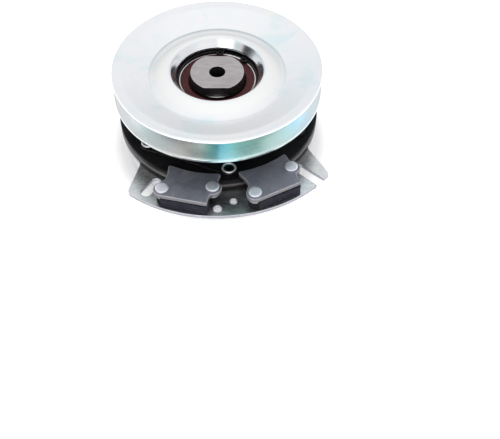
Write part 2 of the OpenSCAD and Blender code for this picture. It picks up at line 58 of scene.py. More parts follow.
# ---------------------------------------------------------------- node material helper
class Mat:
    """Small wrapper that adds nodes to one material."""

    def __init__(self, name, **uniform):
        self.m = bpy.data.materials.new(name)
        self.m.use_nodes = True
        self.t = self.m.node_tree
        self.b = self.t.nodes["Principled BSDF"]
        for key, value in uniform.items():
            self.b.inputs[key.replace("_", " ")].default_value = value
        self.co = self.t.nodes.new("ShaderNodeTexCoord").outputs["Object"]
        self._cyl = None

    def put(self, sock, value):
        if hasattr(value, "is_linked") or hasattr(value, "links"):
            self.t.links.new(value, sock)
        elif value is not None:
            sock.default_value = value

    def math(self, op, a, b=None, c=None, clamp=False):
        n = self.t.nodes.new("ShaderNodeMath")
        n.operation = op
        n.use_clamp = clamp
        for i, v in enumerate((a, b, c)):
            if v is not None:
                self.put(n.inputs[i], v)
        return n.outputs[0]

    def vec(self, x=0.0, y=0.0, z=0.0):
        n = self.t.nodes.new("ShaderNodeCombineXYZ")
        for i, v in enumerate((x, y, z)):
            self.put(n.inputs[i], v)
        return n.outputs[0]

    def xyz(self, v=None):
        n = self.t.nodes.new("ShaderNodeSeparateXYZ")
        self.put(n.inputs[0], self.co if v is None else v)
        return n.outputs[0], n.outputs[1], n.outputs[2]

    def scaled(self, sx, sy, sz, turn=0.0):
        n = self.t.nodes.new("ShaderNodeMapping")
        n.inputs["Rotation"].default_value = (0, 0, turn)
        n.inputs["Scale"].default_value = (sx, sy, sz)
        self.put(n.inputs[0], self.co)
        return n.outputs[0]

    def cyl(self):
        """Unit direction about the axis, radius and height."""
        if self._cyl is None:
            x, y, z = self.xyz()
            r = self.math("SQRT", self.math("ADD", self.math("MULTIPLY", x, x), self.math("MULTIPLY", y, y)))
            rs = self.math("MAXIMUM", r, 1e-5)
            self._cyl = (self.math("DIVIDE", x, rs), self.math("DIVIDE", y, rs), r, z)
        return self._cyl

    def around(self, around, radial, up=0.0):
        """Coordinates that run slowly round the axis and fast across it."""
        c, s, r, z = self.cyl()
        w = self.math("MULTIPLY", r, radial)
        if up:
            w = self.math("ADD", w, self.math("MULTIPLY", z, up))
        return self.vec(self.math("MULTIPLY", c, around), self.math("MULTIPLY", s, around), w)

    def noise(self, v, scale, detail=3.0, rough=0.5, warp=0.0):
        n = self.t.nodes.new("ShaderNodeTexNoise")
        self.put(n.inputs["Vector"], v)
        n.inputs["Scale"].default_value = scale
        n.inputs["Detail"].default_value = detail
        n.inputs["Roughness"].default_value = rough
        n.inputs["Distortion"].default_value = warp
        return n.outputs["Fac"]

    def cells(self, v, scale, feature="F1"):
        n = self.t.nodes.new("ShaderNodeTexVoronoi")
        n.feature = feature
        self.put(n.inputs["Vector"], v)
        n.inputs["Scale"].default_value = scale
        return n.outputs["Distance"]

    def ramp(self, fac, stops, smooth=False):
        n = self.t.nodes.new("ShaderNodeValToRGB")
        n.color_ramp.interpolation = "EASE" if smooth else "LINEAR"
        el = n.color_ramp.elements
        while len(el) < len(stops):
            el.new(0.5)
        for e, (p, c) in zip(el, stops):
            e.position = p
            e.color = (c, c, c, 1) if isinstance(c, (int, float)) else (*c, 1)
        self.put(n.inputs[0], fac)
        return n.outputs[0]

    def remap(self, v, a, b, c, d):
        n = self.t.nodes.new("ShaderNodeMapRange")
        for i, x in enumerate((v, a, b, c, d)):
            self.put(n.inputs[i], x)
        return n.outputs[0]

    def mix(self, fac, a, b, kind="MIX"):
        n = self.t.nodes.new("ShaderNodeMix")
        n.data_type = "RGBA"
        n.blend_type = kind
        self.put(n.inputs[0], fac)
        for i, v in ((6, a), (7, b)):
            if isinstance(v, tuple):
                v = (*v, 1)
            self.put(n.inputs[i], v)
        return n.outputs[2]

    def attr(self, name):
        n = self.t.nodes.new("ShaderNodeAttribute")
        n.attribute_name = name
        return n.outputs["Fac"]

    def up(self):
        """1 on faces that look up, 0 on walls, -1 below."""
        n = self.t.nodes.new("ShaderNodeNewGeometry")
        return self.xyz(n.outputs["Normal"])[2]

    def colour(self, c):
        self.put(self.b.inputs["Base Color"], c)

    def rough(self, r):
        self.put(self.b.inputs["Roughness"], r)

    def bump(self, *layers):
        """layers are (height, strength, distance in mm)."""
        last = None
        for h, s, d in layers:
            n = self.t.nodes.new("ShaderNodeBump")
            n.inputs["Strength"].default_value = s
            n.inputs["Distance"].default_value = d * MM
            self.put(n.inputs["Height"], h)
            if last is not None:
                self.t.links.new(last, n.inputs["Normal"])
            last = n.outputs[0]
        self.t.links.new(last, self.b.inputs["Normal"])
        return self

    def scratches(self, scale=1.0, turn=0.4, keep=0.72):
        """Sparse fine lines in two directions, 0 to 1."""
        a = self.noise(self.scaled(60 * scale, 1400 * scale, 300, turn), 1.0, 2.0, 0.6, 0.3)
        b = self.noise(self.scaled(1200 * scale, 45 * scale, 300, turn + 0.5), 1.0, 2.0, 0.6, 0.3)
        where = self.noise(self.co, 55 * scale, 2.0)
        a = self.ramp(a, [(keep, 0.0), (keep + 0.05, 1.0)])
        b = self.ramp(b, [(keep, 0.0), (keep + 0.05, 1.0)])
        return self.math("MULTIPLY", self.math("MAXIMUM", a, b), self.ramp(where, [(0.45, 0.0), (0.6, 1.0)]))


def zinc_bright(name="zinc_bright", tint=1.0, band=False):
    k = Mat(name, Metallic=1.0, Specular_IOR_Level=0.5)
    streak = k.noise(k.around(2.4, 38.0), 1.0, 2.5, 0.5, 0.8)
    patch = k.noise(k.around(1.6, 22.0), 1.0, 3.0, 0.5, 0.6)
    spin = k.noise(k.around(1.3, 5200.0, 5200.0), 1.0, 2.0, 0.6)
    fine = k.noise(k.co, 2600.0, 2.0, 0.6)
    base = k.ramp(patch, [(0.30, (0.86, 0.91, 0.94)), (0.44, (0.905, 0.92, 0.95)), (0.56, (0.915, 0.925, 0.95)), (0.68, (0.92, 0.92, 0.93))], True)
    hue = k.ramp(streak, [(0.27, (0.60, 0.90, 0.93)), (0.44, (0.94, 0.985, 1.0)), (0.56, (1.0, 1.0, 1.0)), (0.66, (0.98, 0.965, 0.985))], True)
    c = k.mix(0.34 * tint, base, hue, "MULTIPLY")
    if band:
        # chromate colours run in stripes down the groove wall, and the stripes, lighter and darker by angle round the
        # axis, are also a painted reflection
        cs, sn, r, z = k.cyl()
        az = k.math("ARCTAN2", sn, cs)
        wob = k.math("MULTIPLY", k.math("SUBTRACT", k.noise(k.co, 45.0, 3.0), 0.5), 0.10)
        t = k.remap(k.math("ADD", az, wob), -math.pi, math.pi, 0.0, 1.0)
        f = lambda deg: (deg + 180) / 360
        tint_and_reflection_stripes = k.ramp(t, [
            (f(-176), (0.84, 0.86, 0.85)), (f(-150), (0.80, 0.82, 0.81)), (f(-134), (0.62, 0.66, 0.64)), (f(-122), (0.60, 0.62, 0.60)),
            (f(-108), (0.68, 0.66, 0.62)), (f(-99), (0.66, 0.72, 0.68)), (f(-94), (0.46, 0.66, 0.64)), (f(-90), (0.34, 0.60, 0.60)), (f(-86), (0.50, 0.82, 0.88)),
            (f(-80), (0.58, 0.88, 0.88)), (f(-73), (0.60, 0.82, 0.78)), (f(-63), (0.62, 0.78, 0.72)), (f(-50), (0.66, 0.78, 0.74)),
            (f(-40), (0.66, 0.82, 0.82)), (f(-30), (0.66, 0.84, 0.92)), (f(-22), (0.80, 0.88, 0.90)), (f(-10), (0.86, 0.88, 0.89)), (f(60), (0.78, 0.85, 0.88)),
            (f(100), (0.88, 0.86, 0.87)), (f(176), (0.84, 0.86, 0.85))], True)
        c = k.mix(0.92, c, tint_and_reflection_stripes, "MULTIPLY")
    c = k.mix(k.ramp(fine, [(0.35, 0.0), (0.75, 0.10)]), c, (0.62, 0.66, 0.68))
    edge = k.math("MULTIPLY", k.attr("edge"), k.ramp(k.noise(k.co, 240.0, 3.0), [(0.35, 0.15), (0.62, 0.9)]))
    c = k.mix(k.math("MULTIPLY", edge, 0.7), c, (0.93, 0.94, 0.95))
    k.colour(c)
    rr = k.ramp(k.noise(k.around(1.1, 420.0), 1.0, 4.0, 0.6), [(0.3, 0.20), (0.7, 0.28)])
    if not band:
        # the inner cone is burnished; the bore below it is painted near-black as shade
        _, _, r, z = k.cyl()
        cone = k.remap(r, 0.0350, 0.0368, 1.0, 0.0)
        rr = k.math("SUBTRACT", rr, k.math("MULTIPLY", cone, 0.08))
        # painted light: the boss ring is painted lighter than the rest of the face
        boss_painted_light = k.math("MULTIPLY", k.remap(r, 0.0345, 0.0375, 0.0, 1.0), k.remap(r, 0.0445, 0.0490, 1.0, 0.0))
        c = k.mix(boss_painted_light, c, (0.945, 0.95, 0.955))
        # painted shade: a grey line in the crease near r 50 mm, strongest at the back and fading out towards the front
        crease = k.math("MULTIPLY", k.remap(r, 0.0487, 0.0497, 0.0, 1.0), k.remap(r, 0.0502, 0.0514, 1.0, 0.0))
        crease_shade_by_side = k.remap(k.math("ADD", k.cyl()[1], k.math("MULTIPLY", k.noise(k.co, 60.0, 3.0), 0.5)), -0.30, 1.25, 0.0, 0.90)
        c = k.mix(k.math("MULTIPLY", crease, crease_shade_by_side), c, (0.50, 0.56, 0.57))
        bore = k.remap(z, 0.0636, 0.0642, 1.0, 0.0)
        c2 = k.mix(bore, c, (0.010, 0.010, 0.011))
        k.colour(c2)
        rr = k.math("ADD", rr, k.math("MULTIPLY", bore, 0.2))
    scr = k.scratches(0.8, 0.9, 0.745)
    k.rough(k.math("ADD", rr, k.math("MULTIPLY", scr, 0.14)))
    k.bump((spin, 0.05, 0.05), (fine, 0.05, 0.03), (scr, 0.16, 0.015))
    return k.m


def zinc_plate():
    k = Mat("zinc_plate", Metallic=1.0)
    brushed = k.noise(k.scaled(60, 2400, 900, 0.25), 1.0, 3.0, 0.65, 0.2)
    cross = k.noise(k.scaled(1900, 80, 900, 0.42), 1.0, 2.0, 0.6, 0.2)
    patch = k.noise(k.co, 34.0, 4.0, 0.55, 0.5)
    blotch = k.noise(k.co, 150.0, 4.0, 0.6, 0.6)
    c = k.ramp(patch, [(0.32, (0.66, 0.72, 0.72)), (0.48, (0.78, 0.80, 0.81)), (0.62, (0.83, 0.835, 0.85)), (0.74, (0.74, 0.78, 0.82))], True)
    c = k.mix(k.ramp(blotch, [(0.40, 0.0), (0.70, 0.35)]), c, (0.45, 0.50, 0.50))
    c = k.mix(k.ramp(brushed, [(0.42, 0.0), (0.72, 0.38)]), c, (0.42, 0.45, 0.46))
    # side walls take a darker grey: partly the sheared edge, partly painted shade
    sheared_wall_shade = k.ramp(k.noise(k.scaled(700, 700, 120), 1.0, 3.0, 0.6), [(0.3, (0.30, 0.30, 0.335)), (0.7, (0.42, 0.42, 0.465))])
    c = k.mix(k.ramp(k.math("ABSOLUTE", k.up()), [(0.25, 1.0), (0.8, 0.0)]), c, sheared_wall_shade)
    c = k.mix(k.math("MULTIPLY", k.attr("edge"), 0.40), c, (0.84, 0.84, 0.87))
    k.colour(c)
    k.rough(k.math("ADD", k.ramp(brushed, [(0.3, 0.24), (0.7, 0.34)]), k.math("MULTIPLY", k.ramp(cross, [(0.62, 0.0), (0.7, 1.0)]), 0.08)))
    k.bump((brushed, 0.14, 0.04), (cross, 0.07, 0.03), (k.noise(k.co, 3200.0, 2.0), 0.06, 0.03))
    return k.m


def zinc_cup():
    k = Mat("zinc_cup", Metallic=1.0)
    draw = k.noise(k.around(26.0, 60.0, 60.0), 1.0, 3.0, 0.6)
    ring = k.noise(k.around(1.2, 3400.0, 3400.0), 1.0, 2.0, 0.6)
    patch = k.noise(k.co, 30.0, 4.0, 0.55, 0.5)
    c = k.ramp(patch, [(0.32, (0.64, 0.69, 0.70)), (0.5, (0.76, 0.77, 0.79)), (0.68, (0.78, 0.77, 0.80))], True)
    c = k.mix(k.ramp(draw, [(0.45, 0.0), (0.75, 0.30)]), c, (0.48, 0.52, 0.54))
    c = k.mix(k.math("MULTIPLY", k.attr("edge"), 0.5), c, (0.88, 0.89, 0.90))
    k.colour(c)
    k.rough(k.ramp(draw, [(0.3, 0.30), (0.7, 0.46)]))
    k.bump((draw, 0.10, 0.06), (ring, 0.06, 0.03), (k.scratches(0.7, 1.2, 0.73), 0.14, 0.02))
    return k.m


def black_steel(name="black_steel", rim=None):
    k = Mat(name, Metallic=0.0, Specular_IOR_Level=0.13)
    peel = k.noise(k.co, 900.0, 3.0, 0.55)
    spin = k.noise(k.around(1.0, 3000.0, 3000.0), 1.0, 2.0, 0.6)
    patch = k.noise(k.co, 60.0, 4.0, 0.6, 0.4)
    c = k.ramp(patch, [(0.3, (0.004, 0.004, 0.005)), (0.6, (0.008, 0.008, 0.009)), (0.8, (0.014, 0.013, 0.013))])
    # rounded edges lighten: partly worn edges, partly a painted edge highlight
    wear_and_edge_highlight = k.math("MULTIPLY", k.attr("edge"), k.ramp(k.noise(k.around(2.0, 700.0, 700.0), 1.0, 4.0, 0.65), [(0.40, 0.05), (0.62, 0.7)]))
    c = k.mix(wear_and_edge_highlight, c, (0.11, 0.095, 0.09))
    dust = k.ramp(k.noise(k.co, 2400.0, 1.0), [(0.70, 0.0), (0.80, 0.35)])
    c = k.mix(dust, c, (0.05, 0.05, 0.05))
    rr = k.math("ADD", k.ramp(patch, [(0.3, 0.34), (0.7, 0.48)]), k.math("MULTIPLY", dust, 0.15))
    if rim:
        # the turned edge is rubbed back to bare steel, and its lighter band is also a painted highlight along the rim
        r0, z0, z1 = rim
        _, _, r, z = k.cyl()
        ragged = k.math("MULTIPLY", k.math("SUBTRACT", k.noise(k.around(3.0, 900.0, 500.0), 1.0, 4.0, 0.65), 0.5), 0.0012)
        zz = k.math("ADD", z, ragged)
        bare_rim_highlight = k.math("MULTIPLY", k.remap(r, r0 - 0.0005, r0, 0.0, 1.0), k.math("MULTIPLY", k.remap(zz, z0, z0 + 0.0005, 0.0, 1.0), k.remap(zz, z1, z1 + 0.0004, 1.0, 0.0)))
        turned_highlight_tone = k.ramp(spin, [(0.35, (0.110, 0.098, 0.102)), (0.65, (0.20, 0.185, 0.19))])
        c = k.mix(k.math("MULTIPLY", bare_rim_highlight, 0.92), c, turned_highlight_tone)
        k.put(k.b.inputs["Metallic"], k.math("MULTIPLY", bare_rim_highlight, 0.5))
        rr = k.math("SUBTRACT", rr, k.math("MULTIPLY", bare_rim_highlight, 0.05))
    k.colour(c)
    k.rough(rr)
    k.bump((peel, 0.10, 0.06), (spin, 0.05, 0.03), (k.scratches(1.0, 0.2, 0.76), 0.12, 0.015))
    return k.m


def spring_steel():
    k = Mat("spring_steel", Metallic=0.85, Specular_IOR_Level=0.4)
    grain = k.noise(k.scaled(120, 2200, 800, 0.7), 1.0, 3.0, 0.6)
    patch = k.noise(k.co, 90.0, 4.0, 0.6, 0.5)
    c = k.ramp(patch, [(0.3, (0.02, 0.022, 0.028)), (0.55, (0.035, 0.036, 0.042)), (0.8, (0.06, 0.055, 0.05))])
    # painted highlight: the rounded edges are painted a lighter grey
    c = k.mix(k.math("MULTIPLY", k.attr("edge"), 0.8), c, (0.30, 0.30, 0.31))
    k.colour(c)
    k.rough(k.ramp(grain, [(0.3, 0.26), (0.7, 0.42)]))
    k.bump((grain, 0.10, 0.03))
    return k.m


def slate_steel():
    k = Mat("slate_steel", Metallic=0.55, Specular_IOR_Level=0.45)
    grain = k.noise(k.co, 1500.0, 4.0, 0.65)
    patch = k.noise(k.co, 70.0, 4.0, 0.55, 0.5)
    roll = k.noise(k.scaled(90, 1500, 600, 0.15), 1.0, 3.0, 0.6, 0.2)
    top = k.ramp(patch, [(0.28, (0.160, 0.170, 0.215)), (0.50, (0.225, 0.235, 0.285)), (0.72, (0.300, 0.300, 0.340))], True)
    top = k.mix(k.ramp(grain, [(0.40, 0.0), (0.75, 0.5)]), top, (0.135, 0.142, 0.175))
    top = k.mix(k.ramp(roll, [(0.55, 0.0), (0.75, 0.30)]), top, (0.27, 0.265, 0.285))
    # the side face is painted lighter along its bottom and top edges: painted highlight lines along the bends
    h = k.remap(k.xyz()[2], 0.0317, 0.0349, 0.0, 1.0)
    side = k.ramp(h, [(0.0, (0.32, 0.315, 0.34)), (0.12, (0.17, 0.168, 0.185)), (0.50, (0.19, 0.186, 0.205)), (1.0, (0.28, 0.275, 0.30))])
    side = k.mix(k.ramp(k.noise(k.scaled(260, 260, 4200), 1.0, 3.0, 0.6), [(0.35, 0.0), (0.75, 0.45)]), side, (0.12, 0.118, 0.13))
    wall = k.ramp(k.math("ABSOLUTE", k.up()), [(0.25, 1.0), (0.85, 0.0)])
    c = k.mix(wall, top, side)
    # rounded edges lighten: partly worn edges, partly a painted highlight along the bend
    wear_and_edge_highlight = k.math("MULTIPLY", k.attr("edge"), k.ramp(k.noise(k.co, 320.0, 4.0, 0.6), [(0.32, 0.25), (0.60, 1.0)]))
    c = k.mix(k.math("MULTIPLY", wear_and_edge_highlight, 0.8), c, (0.52, 0.51, 0.54))
    scr = k.scratches(1.0, 1.1, 0.74)
    c = k.mix(k.math("MULTIPLY", scr, 0.35), c, (0.32, 0.32, 0.34))
    k.colour(c)
    k.rough(k.ramp(grain, [(0.3, 0.40), (0.7, 0.56)]))
    k.bump((grain, 0.16, 0.05), (roll, 0.05, 0.03), (scr, 0.20, 0.02))
    return k.m


def magnet_black():
    k = Mat("magnet_black", Metallic=0.0, Specular_IOR_Level=0.10)
    grain = k.noise(k.co, 2200.0, 4.0, 0.7)
    patch = k.noise(k.co, 90.0, 4.0, 0.6)
    c = k.ramp(patch, [(0.3, (0.007, 0.007, 0.013)), (0.7, (0.014, 0.015, 0.026))])
    c = k.mix(k.ramp(grain, [(0.45, 0.0), (0.8, 0.5)]), c, (0.028, 0.028, 0.040))
    c = k.mix(k.math("MULTIPLY", k.attr("edge"), k.ramp(k.noise(k.co, 420.0, 3.0), [(0.4, 0.1), (0.62, 0.8)])), c, (0.10, 0.10, 0.125))
    k.colour(c)
    k.rough(k.ramp(grain, [(0.3, 0.42), (0.7, 0.60)]))
    k.bump((grain, 0.20, 0.05))
    return k.m


def bright_rivet(name, dark):
    k = Mat(name, Metallic=1.0)
    grain = k.noise(k.co, 1800.0, 3.0, 0.6)
    patch = k.noise(k.co, 200.0, 3.0, 0.6, 0.4)
    a, b = ((0.80, 0.81, 0.90), (0.93, 0.94, 1.0)) if dark else ((0.62, 0.66, 0.68), (0.82, 0.84, 0.86))
    c = k.ramp(patch, [(0.3, a), (0.7, b)], True)
    c = k.mix(k.ramp(grain, [(0.45, 0.0), (0.8, 0.35)]), c, (0.44, 0.47, 0.52))
    c = k.mix(k.math("MULTIPLY", k.attr("edge"), 0.75), c, (0.93, 0.94, 0.97))
    if not dark:
        # painted shade: the tube's inner wall is painted dark teal
        bore_wall_shade = k.math("MULTIPLY", k.attr("edge"), -1.0, clamp=True)
        c = k.mix(bore_wall_shade, c, (0.03, 0.17, 0.19))
    k.colour(c)
    k.rough(k.ramp(grain, [(0.3, 0.24 if not dark else 0.40), (0.7, 0.36 if not dark else 0.54)]))
    k.bump((grain, 0.14, 0.04), (k.scratches(1.4, 0.5, 0.72), 0.18, 0.015))
    return k.m


def ground_steel():
    """Races: ground bright, with a dark ring of painted shade beside each seal."""
    k = Mat("ground_steel", Metallic=1.0)
    ring = k.noise(k.around(1.5, 7000.0, 7000.0), 1.0, 3.0, 0.6)
    patch = k.noise(k.co, 120.0, 3.0, 0.5)
    c = k.mix(k.ramp(ring, [(0.4, 0.0), (0.75, 0.4)]), k.ramp(patch, [(0.3, (0.62, 0.60, 0.61)), (0.7, (0.74, 0.72, 0.73))]), (0.46, 0.45, 0.46))
    r = k.cyl()[2]
    # painted shade: dark rings on the races beside the seals
    race_shade = k.math("ADD", k.math("MULTIPLY", k.remap(r, 0.0194, 0.0197, 0.0, 1.0), k.remap(r, 0.0216, 0.0219, 1.0, 0.0)), k.remap(r, 0.0281, 0.0284, 0.0, 1.0))
    # painted highlight: the race is painted pale and left unshaded where the snap ring's gap leaves it open
    gap = k.math("ADD", k.math("MULTIPLY", k.cyl()[0], math.cos(math.radians(66.5))), k.math("MULTIPLY", k.cyl()[1], math.sin(math.radians(66.5))))
    lit_in_ring_gap = k.math("MULTIPLY", k.remap(gap, 0.974, 0.978, 0.0, 1.0), k.remap(r, 0.0262, 0.0266, 0.0, 1.0))
    race_shade = k.math("MULTIPLY", race_shade, k.math("SUBTRACT", 1.0, lit_in_ring_gap))
    c = k.mix(lit_in_ring_gap, c, (0.96, 0.96, 0.96))
    # painted highlight: a pale diffuse arc where the collar's flat leaves the bore edge open
    y = k.math("ABSOLUTE", k.xyz()[1])
    flat_arc_highlight = k.math("MULTIPLY", k.remap(y, 0.0190, 0.0196, 0.0, 0.8), k.remap(r, 0.0201, 0.0204, 1.0, 0.0))
    k.put(k.b.inputs["Metallic"], k.math("SUBTRACT", 1.0, flat_arc_highlight))
    k.colour(k.mix(flat_arc_highlight, k.mix(race_shade, c, (0.014, 0.010, 0.010)), (1.0, 1.0, 1.0)))
    k.rough(k.math("ADD", k.ramp(ring, [(0.3, 0.16), (0.7, 0.28)]), k.math("MULTIPLY", race_shade, 0.35)))
    k.bump((ring, 0.06, 0.02))
    return k.m


def collar_top():
    # surface-ground face: fine lines all one way, with a few deeper marks
    k = Mat("collar_ground", Metallic=0.75, Specular_IOR_Level=0.5)
    fine = k.noise(k.scaled(150, 3000, 900, 0.03), 1.0, 4.0, 0.7, 0.5)
    wide = k.noise(k.scaled(90, 420, 900, 0.03), 1.0, 4.0, 0.6, 1.2)
    pits = k.ramp(k.noise(k.scaled(260, 900, 900, 0.05), 1.0, 2.0, 0.6), [(0.66, 0.0), (0.74, 1.0)])
    c = k.ramp(wide, [(0.30, (0.40, 0.375, 0.385)), (0.50, (0.49, 0.465, 0.475)), (0.70, (0.56, 0.54, 0.545))])
    c = k.mix(k.ramp(fine, [(0.42, 0.0), (0.70, 0.55)]), c, (0.33, 0.305, 0.31))
    c = k.mix(k.math("MULTIPLY", pits, 0.45), c, (0.20, 0.185, 0.19))
    c = k.mix(k.math("MULTIPLY", k.attr("edge"), 0.7), c, (0.66, 0.65, 0.66))
    k.colour(c)
    k.rough(k.ramp(fine, [(0.3, 0.40), (0.7, 0.54)]))
    k.bump((fine, 0.18, 0.03), (pits, 0.25, 0.02))
    return k.m


def black_oxide():
    k = Mat("black_oxide", Metallic=0.0, Specular_IOR_Level=0.22)
    cut = k.noise(k.scaled(420, 420, 3400), 1.0, 3.0, 0.65)
    patch = k.noise(k.co, 160.0, 4.0, 0.6, 0.5)
    c = k.ramp(patch, [(0.3, (0.008, 0.007, 0.008)), (0.6, (0.018, 0.016, 0.017)), (0.8, (0.035, 0.031, 0.030))])
    c = k.mix(k.ramp(cut, [(0.5, 0.0), (0.78, 0.5)]), c, (0.055, 0.050, 0.050))
    c = k.mix(k.math("MULTIPLY", k.attr("edge"), k.ramp(patch, [(0.35, 0.1), (0.6, 0.55)])), c, (0.22, 0.21, 0.21))
    k.colour(c)
    k.rough(k.ramp(cut, [(0.3, 0.36), (0.7, 0.52)]))
    k.bump((cut, 0.14, 0.04))
    return k.m


def snap_black():
    k = Mat("snap_black", Metallic=0.0, Specular_IOR_Level=0.10)
    g = k.noise(k.co, 1400.0, 3.0, 0.6)
    c = k.ramp(g, [(0.3, (0.004, 0.004, 0.005)), (0.7, (0.013, 0.012, 0.013))])
    c = k.mix(k.math("MULTIPLY", k.attr("edge"), k.ramp(k.noise(k.co, 300.0, 3.0), [(0.4, 0.05), (0.65, 0.6)])), c, (0.15, 0.15, 0.16))
    k.colour(c)
    k.rough(k.ramp(g, [(0.3, 0.22), (0.7, 0.36)]))
    k.bump((g, 0.10, 0.03))
    return k.m


def hub_steel():
    k = Mat("hub_steel", Metallic=1.0)
    turn = k.noise(k.around(1.2, 4200.0, 4200.0), 1.0, 3.0, 0.6)
    patch = k.noise(k.co, 80.0, 4.0, 0.6, 0.5)
    c = k.ramp(patch, [(0.3, (0.30, 0.31, 0.33)), (0.7, (0.44, 0.44, 0.45))])
    k.colour(k.mix(k.ramp(turn, [(0.4, 0.0), (0.7, 0.5)]), c, (0.22, 0.22, 0.23)))
    k.rough(k.ramp(turn, [(0.3, 0.28), (0.7, 0.46)]))
    k.bump((turn, 0.16, 0.04))
    return k.m


def bearing_steel():
    k = Mat("bearing_steel", Metallic=1.0)
    g = k.noise(k.co, 500.0, 3.0, 0.5)
    k.colour(k.ramp(g, [(0.3, (0.78, 0.79, 0.81)), (0.7, (0.86, 0.86, 0.87))]))
    k.rough(k.ramp(g, [(0.3, 0.06), (0.7, 0.13)]))
    k.bump((g, 0.02, 0.01))
    return k.m


def seal_brown():
    k = Mat("seal_brown", Metallic=0.0, Specular_IOR_Level=0.14)
    grain = k.noise(k.co, 1700.0, 4.0, 0.65)
    ring = k.noise(k.around(1.0, 2600.0, 0.0), 1.0, 3.0, 0.6)
    patch = k.noise(k.co, 110.0, 4.0, 0.6, 0.3)
    c = k.ramp(patch, [(0.3, (0.070, 0.017, 0.020)), (0.55, (0.096, 0.024, 0.027)), (0.8, (0.125, 0.038, 0.038))])
    c = k.mix(k.ramp(grain, [(0.4, 0.0), (0.8, 0.35)]), c, (0.16, 0.085, 0.080))
    c = k.mix(k.ramp(ring, [(0.55, 0.0), (0.8, 0.4)]), c, (0.035, 0.010, 0.011))
    k.colour(c)
    k.rough(k.ramp(grain, [(0.3, 0.40), (0.7, 0.56)]))
    k.bump((grain, 0.12, 0.04), (ring, 0.10, 0.05))
    return k.m


def cage_brass():
    k = Mat("cage_brass", Metallic=1.0)
    g = k.noise(k.around(3.0, 2400.0, 2400.0), 1.0, 3.0, 0.6)
    k.colour(k.ramp(g, [(0.3, (0.42, 0.33, 0.14)), (0.7, (0.60, 0.48, 0.22))]))
    k.rough(k.ramp(g, [(0.3, 0.26), (0.7, 0.40)]))
    k.bump((g, 0.10, 0.03))
    return k.m


def coil_copper():
    k = Mat("coil_copper", Metallic=0.9, Coat_Weight=0.5, Coat_Roughness=0.12)
    g = k.noise(k.around(8.0, 900.0, 900.0), 1.0, 3.0, 0.6)
    k.colour(k.ramp(g, [(0.3, (0.36, 0.10, 0.035)), (0.7, (0.62, 0.24, 0.10))]))
    k.rough(k.ramp(g, [(0.3, 0.26), (0.7, 0.42)]))
    k.bump((g, 0.08, 0.03))
    return k.m


def black_plastic(name="black_plastic", base=0.012):
    k = Mat(name, Metallic=0.0, Specular_IOR_Level=0.45)
    grain = k.cells(k.co, 1500.0)
    flow = k.noise(k.scaled(40, 12, 90, 0.3), 1.0, 4.0, 0.6, 0.8)
    c = k.ramp(flow, [(0.3, (base * 0.75,) * 3), (0.7, (base * 1.35, base * 1.35, base * 1.4))])
    c = k.mix(k.math("MULTIPLY", k.attr("edge"), 0.4), c, (0.05, 0.05, 0.053))
    k.colour(c)
    k.rough(k.ramp(flow, [(0.3, 0.42), (0.7, 0.56)]))
    k.bump((grain, 0.20, 0.05))
    return k.m


def potting():
    k = Mat("potting", Metallic=0.0, Coat_Weight=0.35, Coat_Roughness=0.2)
    g = k.noise(k.co, 120.0, 5.0, 0.6, 0.6)
    k.colour(k.ramp(g, [(0.3, (0.008, 0.008, 0.009)), (0.7, (0.020, 0.019, 0.020))]))
    k.rough(k.ramp(g, [(0.3, 0.22), (0.7, 0.40)]))
    k.bump((g, 0.25, 0.25))
    return k.m


def terminal_tin():
    k = Mat("terminal_tin", Metallic=1.0)
    g = k.noise(k.scaled(900, 90, 900), 1.0, 3.0, 0.6)
    k.colour(k.ramp(g, [(0.3, (0.66, 0.64, 0.58)), (0.7, (0.80, 0.78, 0.73))]))
    k.rough(k.ramp(g, [(0.3, 0.22), (0.7, 0.36)]))
    k.bump((g, 0.08, 0.02))
    return k.m


def friction_lining():
    k = Mat("friction_lining", Metallic=0.0, Specular_IOR_Level=0.25)
    g = k.noise(k.co, 700.0, 5.0, 0.7)
    fl = k.cells(k.scaled(900, 340, 700, 0.6), 1.0)
    c = k.ramp(g, [(0.3, (0.045, 0.030, 0.020)), (0.6, (0.10, 0.070, 0.045)), (0.8, (0.17, 0.13, 0.085))])
    c = k.mix(k.ramp(fl, [(0.05, 0.7), (0.16, 0.0)]), c, (0.42, 0.30, 0.13))
    k.colour(c)
    k.rough(k.ramp(g, [(0.3, 0.65), (0.7, 0.85)]))
    k.bump((g, 0.35, 0.10))
    return k.m


M = {
    "zinc_bright": zinc_bright(),
    "zinc_band": zinc_bright("zinc_band", 0.4, True),
    "zinc_plate": zinc_plate(),
    "zinc_cup": zinc_cup(),
    "black_steel": black_steel(),
    "armature_black": black_steel("armature_black", (0.0743, 0.0, 0.0281)),
    "rotor_black": black_steel("rotor_black", (0.0738, 0.0250, 0.0300)),
    "spring_steel": spring_steel(),
    "slate_steel": slate_steel(),
    "magnet_black": magnet_black(),
    "rivet": bright_rivet("rivet_zinc", True),
    "eyelet": bright_rivet("eyelet_zinc", False),
    "ground_steel": ground_steel(),
    "collar_top": collar_top(),
    "black_oxide": black_oxide(),
    "snap_black": snap_black(),
    "hub_steel": hub_steel(),
    "bearing_steel": bearing_steel(),
    "seal_brown": seal_brown(),
    "cage_brass": cage_brass(),
    "coil_copper": coil_copper(),
    "black_plastic": black_plastic(),
    "bobbin_plastic": black_plastic("bobbin_plastic", 0.02),
    "potting": potting(),
    "terminal_tin": terminal_tin(),
    "friction_lining": friction_lining(),
}


